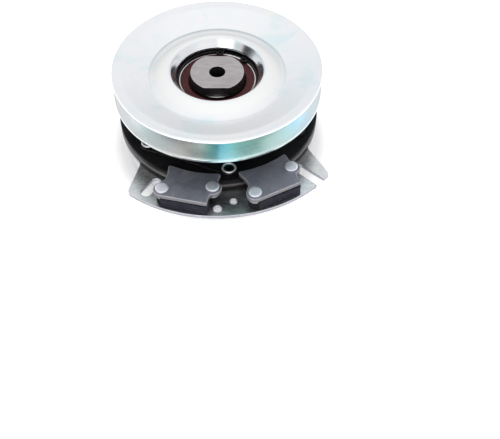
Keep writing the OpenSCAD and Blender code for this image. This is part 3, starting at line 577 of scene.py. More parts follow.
# ---------------------------------------------------------------- mesh helpers (mm in, metres out)
def fil(points, n=5, closed=True):
    """Rounds the corners of [r, z, radius] points. Returns (r, z, edge) with support points beside each round."""
    P = [(Vector((p[0], p[1])), p[2] if len(p) > 2 else 0.0) for p in points]
    out, m = [], len(P)
    for i, (p, rad) in enumerate(P):
        if rad <= 0 or (not closed and i in (0, m - 1)):
            out.append((p.x, p.y, 0.0))
            continue
        a, b = P[i - 1][0], P[(i + 1) % m][0]
        u, v = (a - p).normalized(), (b - p).normalized()
        half = math.acos(max(-1, min(1, u.dot(v)))) / 2
        if half > math.radians(89):
            out.append((p.x, p.y, 0.0))
            continue
        t = min(rad / math.tan(half), 0.48 * (a - p).length, 0.48 * (b - p).length)
        rad = t * math.tan(half)
        c = p + (u + v).normalized() * rad / math.sin(half)
        s, e = p + u * t, p + v * t
        a0 = math.atan2(s.y - c.y, s.x - c.x)
        d = math.atan2(e.y - c.y, e.x - c.x) - a0
        d = (d + math.pi) % (2 * math.pi) - math.pi
        sup = min(0.12, 0.2 * t + 0.04)
        out.append((s.x + u.x * sup, s.y + u.y * sup, 0.0))
        sharp = 1.0 if half < math.radians(72) and rad < 1.3 else 0.0
        for k in range(n + 1):
            q = a0 + d * k / n
            out.append((c.x + rad * math.cos(q), c.y + rad * math.sin(q), sharp * math.sin(math.pi * k / n) ** 0.5 if 0 < k < n else 0.35 * sharp))
        out.append((e.x + v.x * sup, e.y + v.y * sup, 0.0))
    return out


def curve_through(pts, n=8):
    """Smooth profile through points (Catmull-Rom)."""
    out = []
    for i in range(len(pts) - 1):
        p0, p1, p2 = pts[max(i - 1, 0)], pts[i], pts[i + 1]
        p3 = pts[min(i + 2, len(pts) - 1)]
        for k in range(n):
            t = k / n
            out.append(tuple(0.5 * (2 * p1[j] + (p2[j] - p0[j]) * t + (2 * p0[j] - 5 * p1[j] + 4 * p2[j] - p3[j]) * t * t
                                    + (3 * p1[j] - p0[j] - 3 * p2[j] + p3[j]) * t ** 3) for j in (0, 1)))
    out.append(tuple(pts[-1][:2]))
    return out


def finish_mesh(bm, name, flat_angle=38, loc=None):
    bmesh.ops.recalc_face_normals(bm, faces=bm.faces)
    me = bpy.data.meshes.new(name)
    bm.to_mesh(me)
    bm.free()
    me.set_sharp_from_angle(angle=math.radians(flat_angle))
    return me


def new_piece(name, me, mats, body, slot, *nodes):
    o = bpy.data.objects.new(name, me)
    scene.collection.objects.link(o)
    for m in mats if isinstance(mats, (list, tuple)) else [mats]:
        me.materials.append(M[m])
    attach(o, body)
    if nodes:
        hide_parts(*nodes)
    return o


def lathe_into(bm, prof, segs, cx=0.0, cy=0.0, closed=True, a0=0.0, wave=None):
    """Revolves a profile of (r, z, edge) about the line x=cx, y=cy. A closed profile makes a ring, an open one starts and ends on the axis."""
    lay = bm.verts.layers.float.get("edge") or bm.verts.layers.float.new("edge")
    rings = []
    for p in prof:
        r, z, e = p[0], p[1], (p[2] if len(p) > 2 else 0.0)
        if r < 1e-6:
            v = bm.verts.new((cx * MM, cy * MM, z * MM))
            v[lay] = e
            rings.append([v])
            continue
        row = []
        for i in range(segs):
            a = a0 + 2 * math.pi * i / segs
            dr, dz = wave(r, z, a) if wave else (0.0, 0.0)
            v = bm.verts.new(((cx + (r + dr) * math.cos(a)) * MM, (cy + (r + dr) * math.sin(a)) * MM, (z + dz) * MM))
            v[lay] = e
            row.append(v)
        rings.append(row)
    pairs = list(zip(rings, rings[1:] + ([rings[0]] if closed else [])))
    if not closed:
        pairs = pairs[:len(rings) - 1]
    for A, B in pairs:
        if len(A) == 1 and len(B) == 1:
            continue
        for i in range(segs):
            j = (i + 1) % segs
            if len(A) == 1:
                f = bm.faces.new((A[0], B[j], B[i]))
            elif len(B) == 1:
                f = bm.faces.new((A[i], A[j], B[0]))
            else:
                f = bm.faces.new((A[i], A[j], B[j], B[i]))
            f.smooth = True


def lathe(name, prof, mats, body, slot, *nodes, segs=192, closed=True, wave=None, pick=None, also=()):
    bm = bmesh.new()
    lathe_into(bm, prof, segs, closed=closed, wave=wave)
    for extra in also:
        lathe_into(bm, extra, segs, closed=closed, wave=wave)
    me = finish_mesh(bm, name)
    o = new_piece(name, me, mats, body, slot, *nodes)
    if pick:
        for f in me.polygons:
            f.material_index = pick(f)
    return o


def inset(L, d):
    out, n = [], len(L)
    for i in range(n):
        p0, p, p1 = L[i - 1], L[i], L[(i + 1) % n]
        e0, e1 = (p - p0).normalized(), (p1 - p).normalized()
        n0, n1 = Vector((-e0.y, e0.x)), Vector((-e1.y, e1.x))
        m = n0 + n1
        m = m.normalized() if m.length > 1e-6 else n0
        out.append(p + m * d / max(0.5, m.dot(n0)))
    return out


def area(L):
    return sum(L[i - 1].x * L[i].y - L[i].x * L[i - 1].y for i in range(len(L))) / 2


def clean(L):
    """Outline as vectors with repeated points dropped."""
    out = []
    for p in L:
        q = Vector((p[0], p[1]))
        if not out or (q - out[-1]).length > 1e-4:
            out.append(q)
    while (out[0] - out[-1]).length < 1e-4:
        out.pop()
    return out


def slab_into(bm, outline, holes, z0, z1, top=0.4, bot=0.3, n=4, put=None):
    """Prism with rounded edges. put maps (x, y, z) in mm to a point."""
    lay = bm.verts.layers.float.get("edge") or bm.verts.layers.float.new("edge")
    loops = [clean(outline)] + [clean(h) for h in holes]
    loops = [(L if (area(L) > 0) == (i == 0) else L[::-1]) for i, L in enumerate(loops)]
    levels = []
    for k in range(n + 1):
        q = math.pi / 2 * k / n
        levels.append((bot * (1 - math.sin(q)), z0 + bot * (1 - math.cos(q)), 1.0 if 0 < k < n else 0.3))
    levels.append((0.0, z0 + bot + 0.08, 0.0))
    levels.append((0.0, z1 - top - 0.08, 0.0))
    for k in range(n + 1):
        q = math.pi / 2 * k / n
        levels.append((top * (1 - math.cos(q)), z1 - top * (1 - math.sin(q)), 1.0 if 0 < k < n else 0.3))
    put = put or (lambda x, y, z: (x, y, z))
    caps = {0: [], len(levels) - 1: []}
    for L in loops:
        rows = []
        for li, (d, z, e) in enumerate(levels):
            ring = inset(L, d) if d else L
            row = []
            for p in ring:
                v = bm.verts.new([c * MM for c in put(p.x, p.y, z)])
                v[lay] = e
                row.append(v)
            rows.append(row)
            if li in caps:
                caps[li].append((ring, row))
        for A, B in zip(rows, rows[1:]):
            for i in range(len(L)):
                j = (i + 1) % len(L)
                f = bm.faces.new((A[i], A[j], B[j], B[i]))
                f.smooth = True
    # the caps start one small step in, so that a flat face shades flat
    for li, sets in caps.items():
        z = levels[li][1]
        rings, verts = [], []
        for ring, row in sets:
            inner = inset(ring, 0.10)
            new = []
            for p in inner:
                v = bm.verts.new([c * MM for c in put(p.x, p.y, z)])
                v[lay] = 0.0
                new.append(v)
            for i in range(len(row)):
                j = (i + 1) % len(row)
                bm.faces.new((row[i], row[j], new[j], new[i])).smooth = True
            rings.append([Vector((p.x, p.y, 0)) for p in inner])
            verts += new
        for a, b, c in tessellate_polygon(rings):
            if len({a, b, c}) == 3:
                try:
                    bm.faces.new((verts[a], verts[b], verts[c])).smooth = True
                except ValueError:
                    pass


def slab(name, outline, holes, z0, z1, mats, body, slot, *nodes, top=0.4, bot=0.3, n=4, put=None, pick=None):
    bm = bmesh.new()
    slab_into(bm, outline, holes, z0, z1, top, bot, n, put)
    me = finish_mesh(bm, name)
    o = new_piece(name, me, mats, body, slot, *nodes)
    if pick:
        for f in me.polygons:
            f.material_index = pick(f)
    return o


# outline helpers, degrees
def pol(r, a):
    return Vector((r * math.cos(math.radians(a)), r * math.sin(math.radians(a))))


def arc(c, r, a0, a1, n):
    c = Vector(c)
    return [c + pol(r, a0 + (a1 - a0) * i / n) for i in range(n + 1)]


def circle(x, y, r, n=40):
    return [Vector((x, y)) + pol(r, 360 * i / n) for i in range(n)]


def ang(v):
    return math.degrees(math.atan2(v[1], v[0]))


def turned(L, a):
    c, s = math.cos(math.radians(a)), math.sin(math.radians(a))
    return [Vector((p[0] * c - p[1] * s, p[0] * s + p[1] * c)) for p in L]


def corner(a, p, b, r, n):
    u, v = (a - p).normalized(), (b - p).normalized()
    h = math.acos(max(-1, min(1, u.dot(v)))) / 2
    c = p + (u + v).normalized() * r / math.sin(h)
    s, t = p + u * r / math.tan(h), p + v * r / math.tan(h)
    a0 = ang(s - c)
    d = (ang(t - c) - a0 + 180) % 360 - 180
    return arc(c, r, a0, a0 + d, n)


def rounded(P, n=7):
    m, out = len(P), []
    for i in range(m):
        p, r = P[i]
        if r == 0:
            out.append(p)
        else:
            out += corner(P[i - 1][0], p, P[(i + 1) % m][0], r, n)
    return out


def ring_sector(r0, r1, a0, a1, n=28):
    return arc((0, 0), r1, a0, a1, n) + arc((0, 0), r0, a1, a0, n)


def rounded_box(x0, x1, y0, y1, r, n=5):
    return rounded([(Vector((x0, y0)), r), (Vector((x1, y0)), r), (Vector((x1, y1)), r), (Vector((x0, y1)), r)], n)


# ---------------------------------------------------------------- sizes shared with the frame
H = 73.5
z_low = 52.5
root_r = 64.0
gw = 0.323
rim_t = 2.4
zu = H - rim_t
zr = zu - gw * 13
zl = z_low + rim_t + gw * 13
z_fb, z_pb, z_pt = 3.0, 47.2, 61.2
z_pl, z_pm = 19.0, 22.0
rot_z0, rot_z1 = 22.3, 27.1
arm_z0, arm_z1 = 27.6, 31.6
z_bp, z_bt = 31.7, 34.9
z_ear, ear_t = 32.5, 1.5
z_sp = 45.7
spring_r = 64.0
bar_c = (-103.6, -62.3)
bri, bro = (83.7, 12.0), (93.0, -10.4)
plate_r = 74.6
brg_or = 31.0

# ---------------------------------------------------------------- pulley
inner = curve_through([(31.3, 64.1), (30.6, 64.35), (30.45, 65.2), (31.6, 67.1), (32.8, 69.05), (33.9, 70.75), (34.7, 71.58), (35.6, 71.88), (36.8, 71.82), (38.6, 71.48),
                       (40.6, 70.92), (42.6, 70.2), (44.8, 69.2), (46.8, 68.15), (48.4, 67.38), (49.6, 66.98), (50.6, 66.95), (51.8, 67.22), (53.5, 67.73), (58.0, 69.1),
                       (64.0, 70.92), (69.0, 72.42), (70.4, 72.72), (71.8, 72.9), (74.0, 73.2), (75.5, 73.45)], 6)
outer_edge = [(76.25, 73.5, 0.4), (76.7, 73.3, 1.0), (76.95, 72.9, 0.6), (77.0, 72.4, 0.0), (77.0, 71.6, 0.0), (76.9, 71.2, 0.9), (76.6, 71.0, 0.5), (76.2, 70.85, 0.0)]
under = [(root_r + 0.6, zr + 0.2, 0.0), (root_r, zr, 0.0), (57.0, 65.9, 0.0), (50.8, 64.1, 0.0), (48.6, 64.25, 0.0), (46.5, 65.15, 0.0), (43.0, 67.0, 0.0), (40.0, 68.3, 0.0),
         (38.2, 68.55, 0.0), (37.4, 68.1, 0.0), (37.2, 67.5, 0.0), (37.2, 64.0, 0.3), (31.3, 64.0, 0.3)]
lathe("upper_flange", [(a, b, 0.0) for a, b in inner] + outer_edge + under, ["zinc_bright", "zinc_band"], "pulley", "zinc_bright", "pulley_upper_flange", segs=256,
      pick=lambda f: 1 if f.normal.z < -0.2 and f.center.xy.length > 0.0632 else 0)

low = fil([(35.0, zl - 2.6, 0), (60.4, zl - 2.6, 1.5), (63.3, zl - 3.0, 2.0), (74.3, z_low + 0.32, 0.8), (75.2, z_low, 0.6), (76.95, z_low, 0.5), (77.0, z_low + 2.25, 0.5),
           (75.9, z_low + rim_t + 0.42, 0.6), (root_r + 0.3, zl, 0.8), (35.0, zl, 0)], 6)
lathe("lower_flange", low, "zinc_band", "pulley", "zinc_bright", "pulley_lower_flange", segs=256)
slope = (zr - 64.1) / (root_r - 50.8)
lathe("groove_band", fil([(61.5, zl, 0), (root_r, zl, 0.2), (root_r, zr, 0.2), (61.5, zr - slope * 2.5, 0)], 3), "zinc_band", "pulley", "zinc_bright", "groove_ring", segs=192)


def snap_outline(g0, g1):
    ro, ri, re = brg_or + 1.2, brg_or - 2.3, brg_or - 5.4
    P = [(p, 0) for p in arc((0, 0), ro, g1, g0 + 360, 120)]
    P += [(pol(re, g0 - 1.5), 1.5), (pol(re, g0 - 10.5), 1.6), (pol(ri, g0 - 13), 0.8)]
    P += [(p, 0) for p in arc((0, 0), ri, g0 + 345, g1 + 15, 110)]
    P += [(pol(ri, g1 + 13), 0.8), (pol(re, g1 + 10.5), 1.6), (pol(re, g1 + 1.5), 1.5)]
    holes = [circle(*pol(brg_or - 2.9, g), 1.1, 24) for g in (g0 - 6, g1 + 6)]
    return rounded(P), holes


out, holes = snap_outline(52, 81)
slab("snap_ring_upper", out, holes, z_pt, z_pt + 1.8, "snap_black", "pulley", "black_steel", "pulley_snap_ring", top=0.28, bot=0.15, n=3)
out, holes = snap_outline(75, 105)
slab("snap_ring_lower", out, holes, z_fb + 14, z_fb + 15.8, "snap_black", "field", "black_steel", "field_snap_ring", top=0.28, bot=0.15, n=3)


def seal_profiles(z):
    """Two rubber shields, each with a lip, a flat and a bead, one facing up and one facing down."""
    ri, ro = 21.25, 27.5
    up = [(ri, 0.35, 0.1), (ri + 0.35, 0.0, 0.1), (ro - 0.5, 0.0, 0.1), (ro, 0.25, 0.1), (ro, 0.95, 0.2), (ro - 0.45, 1.2, 0.2), (ro - 1.1, 1.2, 0.15), (ro - 1.35, 0.92, 0.15),
          (ro - 1.9, 0.92, 0.2), (ri + 2.0, 0.98, 0.3), (ri + 1.5, 1.18, 0.25), (ri + 0.7, 1.16, 0.2), (ri, 0.85, 0.2)]
    a = fil([(r, z + 11.8 + h, c) for r, h, c in up], 4)
    b = fil([(r, z + 2.2 - h, c) for r, h, c in up[::-1]], 4)
    return a, b


for body, z, node, nm in (("pulley", z_pb, "pulley_bearing_seals", "seal_upper"), ("field", z_fb, "field_bearing_seals", "seal_lower")):
    a, b = seal_profiles(z)
    lathe(nm, a, "seal_brown", body, "seal_brown", node, segs=144, also=(b,))

# ---------------------------------------------------------------- bolt collar
half = math.degrees(math.asin(17.5 / 19.7))
chord = arc((0, 0), 19.7, -half, half, 44) + arc((0, 0), 19.7, 180 - half, 180 + half, 44)
slab("bolt_collar_ground", chord, [circle(0, 0, 5.9, 56)], z_pt, 68.1, ["collar_top", "black_oxide"], "rotor", "ground_steel", "bolt_collar", top=0.38, bot=0.2, n=4,
     pick=lambda f: 0 if f.normal.z > 0.75 else 1)

# ---------------------------------------------------------------- hollow rivets, solid rivets
def eyelet(z0, z1, flare):
    """Formed tube: wide rolled head above, small roll below, open in the middle."""
    head = [(3.72, z1 + 0.55), (3.9, z1 + 0.95), (4.22, z1 + 1.28), (4.65, z1 + 1.42), (5.05, z1 + 1.2), (5.36, z1 + 0.6), (5.3, z1 + 0.1)]
    top = [(a, b, 0.3 if 4.0 < a < 5.2 else 0.0) for a, b in curve_through(head, 4)]
    # negative edge values mark the tube's inner wall for the eyelet material's painted shade
    low_ = [(5.2, z1, 0.0), (3.8, z1, 0.0), (3.8, z0, 0.0), (4.9, z0, 0.0), (5.0, z0 - flare + 0.3, 0.0), (4.6, z0 - flare - 0.18, 0.0), (3.8, z0 - flare - 0.2, 0.0),
            (3.35, z0 - flare + 0.05, 0.0), (3.2, z0 - flare + 0.5, -0.6), (3.2, z1 - 0.9, -1.0), (3.3, z1 - 0.2, -1.0), (3.62, z1 + 0.3, -1.0)]
    return top + low_


def many(name, profs, places, mats, body, slot, *nodes, segs=48, closed=True):
    bm = bmesh.new()
    for x, y in places:
        for p in profs:
            lathe_into(bm, p, segs, x, y, closed)
    me = finish_mesh(bm, name)
    return new_piece(name, me, mats, body, slot, *nodes)


many("spring_eyelets", [eyelet(arm_z1, z_ear + ear_t, 1.1)], [pol(spring_r, -142 + 120 * k) for k in range(3)], "eyelet", "pulley", "rivet_zinc", "spring_rivets")
many("armature_eyelets", [eyelet(arm_z0 + 1.4, z_ear, 1.0)], [pol(spring_r, -82 + 120 * k) for k in range(3)], "eyelet", "armature", "rivet_zinc", "armature_rivets")

posts = [pol(r, c + a) for c in bar_c for r, a in (bri, bro)]
head = fil([(0, z_pl - 1.2, 0), (3.5, z_pl - 1.2, 0.5), (4.2, z_pl - 0.5, 0.3), (4.2, z_pl, 0.1), (2.6, z_pl, 0), (2.6, z_bt, 0), (4.75, z_bt, 0.12),
            (4.8, z_bt + 1.05, 0.35), (4.35, z_bt + 1.5, 0.5), (3.2, z_bt + 1.57, 0.2), (0, z_bt + 1.6, 0)], 5, False)
many("brake_rivet_heads", [head], posts, "rivet", "field", "rivet_zinc", "brake_rivets", segs=56, closed=False)

bm = bmesh.new()
for x, y in posts:
    n = 26  # knurled sleeve
    ribs = []
    for i in range(n):
        for t, r in ((0.0, 4.22), (0.28, 4.58), (0.62, 4.58), (0.86, 4.22)):
            ribs.append(Vector((x, y)) + pol(r, 360 * (i + t) / n))
    slab_into(bm, ribs, [circle(x, y, 2.62, 32)], z_pm + 0.02, z_bp - 3.02, 0.14, 0.14, 2)
new_piece("knurled_spacers", finish_mesh(bm, "knurled_spacers", 30), "black_steel", "field", "black_steel", "brake_spacers")
shim = [fil([(2.62, z_bp - 3 + i + 0.02, 0), (4.85, z_bp - 3 + i + 0.02, 0.18), (4.85, z_bp - 2 + i - 0.02, 0.22), (2.62, z_bp - 2 + i - 0.02, 0)], 3) for i in range(3)]
many("brake_shim_stack", shim, posts, "slate_steel", "field", "slate_steel", "brake_shims", segs=56)

# ---------------------------------------------------------------- brake plates and magnets
lobe_i, lobe_o = pol(*bri), pol(*bro)
P = [(Vector((97.4, 17.5)), 1.0), (Vector((91.5, 16.9)), 0.8)]
P += [(p, 0) for p in arc(lobe_i, 6.6, 4, 112, 22)]
P += [(Vector((75.4, 19.5)), 2.0), (pol(70.6, 16.5), 1.5)]
P += [(p, 0) for p in arc((0, 0), 70.6, 14, -13, 36)]
P += [(pol(70.6, -15.5), 1.5), (Vector((77.5, -17.0)), 2.0), (Vector((82.4, -17.1)), 2.0)]
P += [(p, 0) for p in arc(lobe_o, 6.3, -125, 0, 26)]
brake_out = rounded(P)
magnet_out = rounded_box(78.0, 97.6, -17.0, 17.0, 0.8)
for side, c in (("left", bar_c[0]), ("right", bar_c[1])):
    slab("brake_shoe_" + side, turned(brake_out, c), [circle(*pol(r, c + a), 2.62, 28) for r, a in (bri, bro)], z_bp, z_bt,
         "slate_steel", "field", "slate_steel", "brake_plate_" + side, top=0.5, bot=0.22, n=4)
    # the block is three ground slabs held as one, cut back round the two posts
    bm = bmesh.new()
    for z0, z1, s in ((z_pm + 0.02, 24.7, 0.0), (24.75, 27.6, 0.12), (27.65, z_bp - 1.32, 0.0)):
        body_out = rounded_box(78.0 + s, 97.6 - s, -17.0 + s, 17.0 - s, 0.8)
        slab_into(bm, turned(body_out, c), [], z0, z1, 0.22, 0.18, 2)
    me = finish_mesh(bm, "magnet_" + side)
    o = new_piece("magnet_" + side, me, "magnet_black", "field", "magnet_black", "brake_magnet_" + side)
    # clear the posts with a cutter, then keep the plain result
    cb = bmesh.new()
    for r, a in (bri, bro):
        x, y = pol(r, c + a)
        lathe_into(cb, [(0, 10, 0), (5.1, 10, 0), (5.1, 40, 0), (0, 40, 0)], 56, x, y, False)
    bmesh.ops.recalc_face_normals(cb, faces=cb.faces)
    cm = bpy.data.meshes.new("cut")
    cb.to_mesh(cm)
    cb.free()
    cutter = bpy.data.objects.new("cutter", cm)
    scene.collection.objects.link(cutter)
    md = o.modifiers.new("posts", "BOOLEAN")
    md.operation, md.solver, md.object = "DIFFERENCE", "EXACT", cutter
    bpy.context.view_layer.update()
    done = bpy.data.meshes.new_from_object(o.evaluated_get(bpy.context.evaluated_depsgraph_get()))
    o.modifiers.clear()
    o.data = done
    done.set_sharp_from_angle(angle=math.radians(38))
    bpy.data.objects.remove(cutter)


# ---------------------------------------------------------------- mounting plate
def tan_c(n, off, c0, d, s):
    h = off - n.dot(c0)
    t = math.sqrt(d * d - h * h)
    return c0 + h * n + s * t * Vector((n.y, -n.x))


lw_n, rw_n = Vector((-0.967, 0.2548)), Vector((0.866, 0.5))
ac, O = Vector((0, 4)), Vector((0, 0))
lc = tan_c(lw_n, 37.6, ac, 98.5, -1)
rc = tan_c(rw_n, 37.9, ac, 99.5, 1)
lf = tan_c(lw_n, 48.6, O, plate_r + 6, -1)
rf = tan_c(rw_n, 47.9, O, plate_r + 6, 1)
main_out = (arc(O, plate_r, ang(rf), ang(lf) + 360, 200) + arc(lf, 6, ang(-lf), ang(-lw_n), 10)
            + arc(lc, 5, ang(lw_n), ang(lc - ac) + 360, 10) + arc(ac, 103.5, ang(lc - ac), ang(rc - ac), 90)
            + arc(rc, 4, ang(rc - ac), ang(rw_n), 10) + arc(rf, 6, ang(-rw_n) + 360, ang(-rf), 10))
main_out = clean(main_out)


def cross(p, q, a, b):
    """Where segment p-q meets segment a-b, or None."""
    r, s = q - p, b - a
    d = r.x * s.y - r.y * s.x
    if abs(d) < 1e-12:
        return None
    t = ((a - p).x * s.y - (a - p).y * s.x) / d
    u = ((a - p).x * r.y - (a - p).y * r.x) / d
    return t if 0 <= t <= 1 and 0 <= u <= 1 else None


# the open slot is part of the outline: leave along one wall, round the end, and back along the other
sd = pol(1, -41.7)
sn = Vector((-sd.y, sd.x))
hw = 3.9
hits = []
for side in (-1, 1):
    a, b = sd * 81 + sn * hw * side, sd * 130 + sn * hw * side
    for i in range(len(main_out)):
        p, q = main_out[i], main_out[(i + 1) % len(main_out)]
        t = cross(p, q, a, b)
        if t is not None:
            hits.append((i + t, p + (q - p) * t, side))
hits = sorted(hits[:2] if len(hits) == 2 else hits, key=lambda h: h[0])
(i0, p0, s0), (i1, p1, s1) = hits[0], hits[-1]
keep = [main_out[i % len(main_out)] for i in range(math.floor(i1) + 1, len(main_out) + math.floor(i0) + 1)]
end_c = sd * 81
a_in = ang(sn * s0)
mouth = arc(end_c, hw, a_in, a_in + (180 if s0 > 0 else -180), 18)
open_out = rounded([(p, 0) for p in keep] + [(p0, 0.7)] + [(p, 0) for p in mouth] + [(p1, 0.7)], 5)
cd_ = pol(1, -123.3)
ca = ang(cd_)
closed_slot = arc(cd_ * 81, hw, ca + 90, ca + 270, 18) + arc(cd_ * 92, hw, ca - 90, ca + 90, 18)
holes = [circle(0, 0, 60, 160), closed_slot, circle(1.1, -92.8, 3.1, 36), circle(12.3, -85.8, 2.7, 36)] + [circle(x, y, 2.62, 28) for x, y in posts]
slab("mounting_plate_blanked", open_out, holes, z_pl, z_pm, "zinc_plate", "field", "zinc_plate", "mounting_plate", top=0.28, bot=0.4, n=4)

# ---------------------------------------------------------------- field cup, coil and connector
cup = [(28.5, 0.55, 0.3), (29.2, 0.0, 0.3), (47.5, 0.0, 0.8), (48.6, 0.55, 0.8), (54.4, 0.55, 0.8), (55.5, 0.0, 0.8), (72.5, 0.0, 4.2), (72.5, z_pl - 0.02, 0.25), (69.5, z_pl - 0.02, 0.2),
       (69.5, 3.0, 0.8), (35.0, 3.0, 0.4), (35.0, 21.75, 0.2), (31.4, 21.75, 0.2), (31.0, 21.4, 0.1), (31.0, 18.8, 0), (32.3, 18.8, 0), (32.3, 17.0, 0), (31.0, 17.0, 0), (31.0, 3.0, 0), (28.5, 3.0, 0.2)]


def dimples(r, z, a):
    """Six shallow staking marks on the underside."""
    d = 0.0
    if z < 0.9 and 57 < r < 70:
        for k in range(6):
            b = math.radians(60 * k + 30)
            q = (r - 62.5) ** 2 + (62.5 * ((a - b + math.pi) % (2 * math.pi) - math.pi)) ** 2
            d += 0.5 * math.exp(-q / 3.2)
    return 0.0, d


prof = fil(cup, 6)
fine = []
for i, p in enumerate(prof):
    fine.append(p)
    q = prof[(i + 1) % len(prof)]
    if p[1] < 0.1 and q[1] < 0.1 and p[0] < q[0] and q[0] - p[0] > 8 and p[0] > 50:
        for k in range(1, 14):
            fine.append((p[0] + (q[0] - p[0]) * k / 14, p[1], 0.0))
cup_o = lathe("field_cup_drawn", fine, "zinc_cup", "field", "zinc_plate", "field_cup", segs=240, wave=dimples)
cb = bmesh.new()
slab_into(cb, rounded_box(-6, 6, 60, 80, 1.2), [], 6.5, 13.5, 0.05, 0.05, 1)
bmesh.ops.recalc_face_normals(cb, faces=cb.faces)
cm = bpy.data.meshes.new("cut")
cb.to_mesh(cm)
cb.free()
cutter = bpy.data.objects.new("cutter", cm)
scene.collection.objects.link(cutter)
md = cup_o.modifiers.new("window", "BOOLEAN")
md.operation, md.solver, md.object = "DIFFERENCE", "EXACT", cutter
bpy.context.view_layer.update()
done = bpy.data.meshes.new_from_object(cup_o.evaluated_get(bpy.context.evaluated_depsgraph_get()))
cup_o.modifiers.clear()
cup_o.data = done
done.set_sharp_from_angle(angle=math.radians(38))
bpy.data.objects.remove(cutter)

lathe("bobbin", fil([(35.02, 3.02, 0.2), (69.48, 3.02, 0.3), (69.48, 18.6, 0.2), (68.0, 18.6, 0.2), (68.0, 4.5, 0.4), (36.5, 4.5, 0.4), (36.5, 18.6, 0.2), (35.02, 18.6, 0.2)], 3),
      "bobbin_plastic", "field", "black_plastic", "coil_bobbin", segs=128)
wires = []
for i in range(12):  # the outermost turns show as round wires
    zc = 4.98 + i * 0.93
    for k in range(5):
        q = math.radians(-80 + 40 * k)
        wires.append((67.5 + 0.46 * math.cos(q), zc + 0.46 * math.sin(q), 0.0))
wires += [(67.3, 15.95, 0.0), (36.6, 15.95, 0.0), (36.6, 4.55, 0.0), (67.3, 4.52, 0.0)]
lathe("winding", wires, "coil_copper", "field", "coil_copper", "coil_winding", segs=128)
lathe("potting_fill", fil([(36.52, 16.0, 0), (67.98, 16.0, 0), (67.98, 18.4, 0.1), (66.6, 18.1, 1.0), (38.0, 18.1, 1.0), (36.52, 18.4, 0.1)], 4), "potting", "field", "potting", "coil_potting", segs=128)

bm = bmesh.new()
xz = lambda x, z, y: (x, y, z)  # outlines are drawn in x and z, then run along y
body_out = rounded_box(-10, 10, 3.5, 16.5, 1.2)
slab_into(bm, body_out, [rounded_box(-8, 8, 5, 15, 0.7)], 77.2, 92.0, 0.5, 0.1, 3, xz)
slab_into(bm, body_out, [], 73.0, 77.4, 0.1, 0.3, 3, xz)
slab_into(bm, rounded_box(-6.8, 6.8, 4.6, 15.4, 0.8), [], 71.4, 73.4, 0.1, 0.1, 2, xz)
slab_into(bm, rounded_box(-5.98, 5.98, 6.52, 13.48, 0.8), [], 69.55, 72.0, 0.1, 0.1, 2, xz)
slab_into(bm, rounded_box(-2.9, 2.9, 16.0, 17.6, 0.4), [], 80.0, 90.0, 0.4, 0.4, 3, xz)
yz = lambda y, z, x: (x, y, z)
slab_into(bm, [(84.6, 17.3), (88.6, 17.3), (88.2, 18.1), (86.6, 18.1)], [], -2.5, 2.5, 0.12, 0.12, 2, yz)
for s in (-1, 1):
    for zc in (7.0, 13.0):  # side ribs
        slab_into(bm, rounded_box(s * 9.75 - 0.55, s * 9.75 + 0.55, zc - 0.6, zc + 0.6, 0.25), [], 75.0, 90.5, 0.3, 0.3, 2, xz)
new_piece("connector_shell", finish_mesh(bm, "connector_shell"), "black_plastic", "field", "black_plastic", "connector_housing")
bm = bmesh.new()
for s in (-4.6, 4.6):
    blade = rounded([(Vector((76.9, 6.9)), 0), (Vector((87.3, 6.9)), 0.3), (Vector((88.5, 8.1)), 0.4), (Vector((88.5, 12.0)), 0.4), (Vector((87.3, 13.2)), 0.3), (Vector((76.9, 13.2)), 0)], 4)
    slab_into(bm, blade, [circle(86.0, 10.05, 0.9, 24)], s - 0.4, s + 0.4, 0.14, 0.14, 2, yz)
new_piece("connector_blades", finish_mesh(bm, "connector_blades"), "terminal_tin", "field", "terminal_tin", "connector_terminals")

# ---------------------------------------------------------------- springs, spider rivets, retaining ring, lining
bm = bmesh.new()
for k in range(3):
    p, q = pol(spring_r, -142 + 120 * k), pol(spring_r, -82 + 120 * k)
    u = (q - p).normalized()
    a = ang(u)
    mid = (p + q) / 2
    nrm = Vector((-u.y, u.x))
    strip = arc(p, 6.0, a + 70, a + 290, 24) + [mid - nrm * 5.2] + arc(q, 6.0, a - 110, a + 110, 24) + [mid + nrm * 5.2]
    slab_into(bm, strip, [circle(p.x, p.y, 3.8, 32), circle(q.x, q.y, 3.9, 32)], arm_z1, arm_z1 + 0.9, 0.16, 0.12, 2)
new_piece("leaf_spring_set", finish_mesh(bm, "leaf_spring_set"), "spring_steel", "pulley", "spring_steel", "leaf_springs")
srv = fil([(0, z_sp - 4.2, 0), (3.1, z_sp - 4.2, 0.4), (3.8, z_sp - 3.55, 0.3), (3.8, z_sp - 3, 0.1), (2.5, z_sp - 3, 0), (2.5, z_sp + 3, 0), (3.8, z_sp + 3, 0.1), (3.8, z_sp + 3.65, 0.3),
           (3.1, z_sp + 4.3, 0.4), (0, z_sp + 4.3, 0)], 4, False)
many("spider_rivet_heads", [srv], [pol(40.5, 60 * k + 8) for k in range(6)], "rivet", "pulley", "rivet_zinc", "spider_rivets", closed=False)

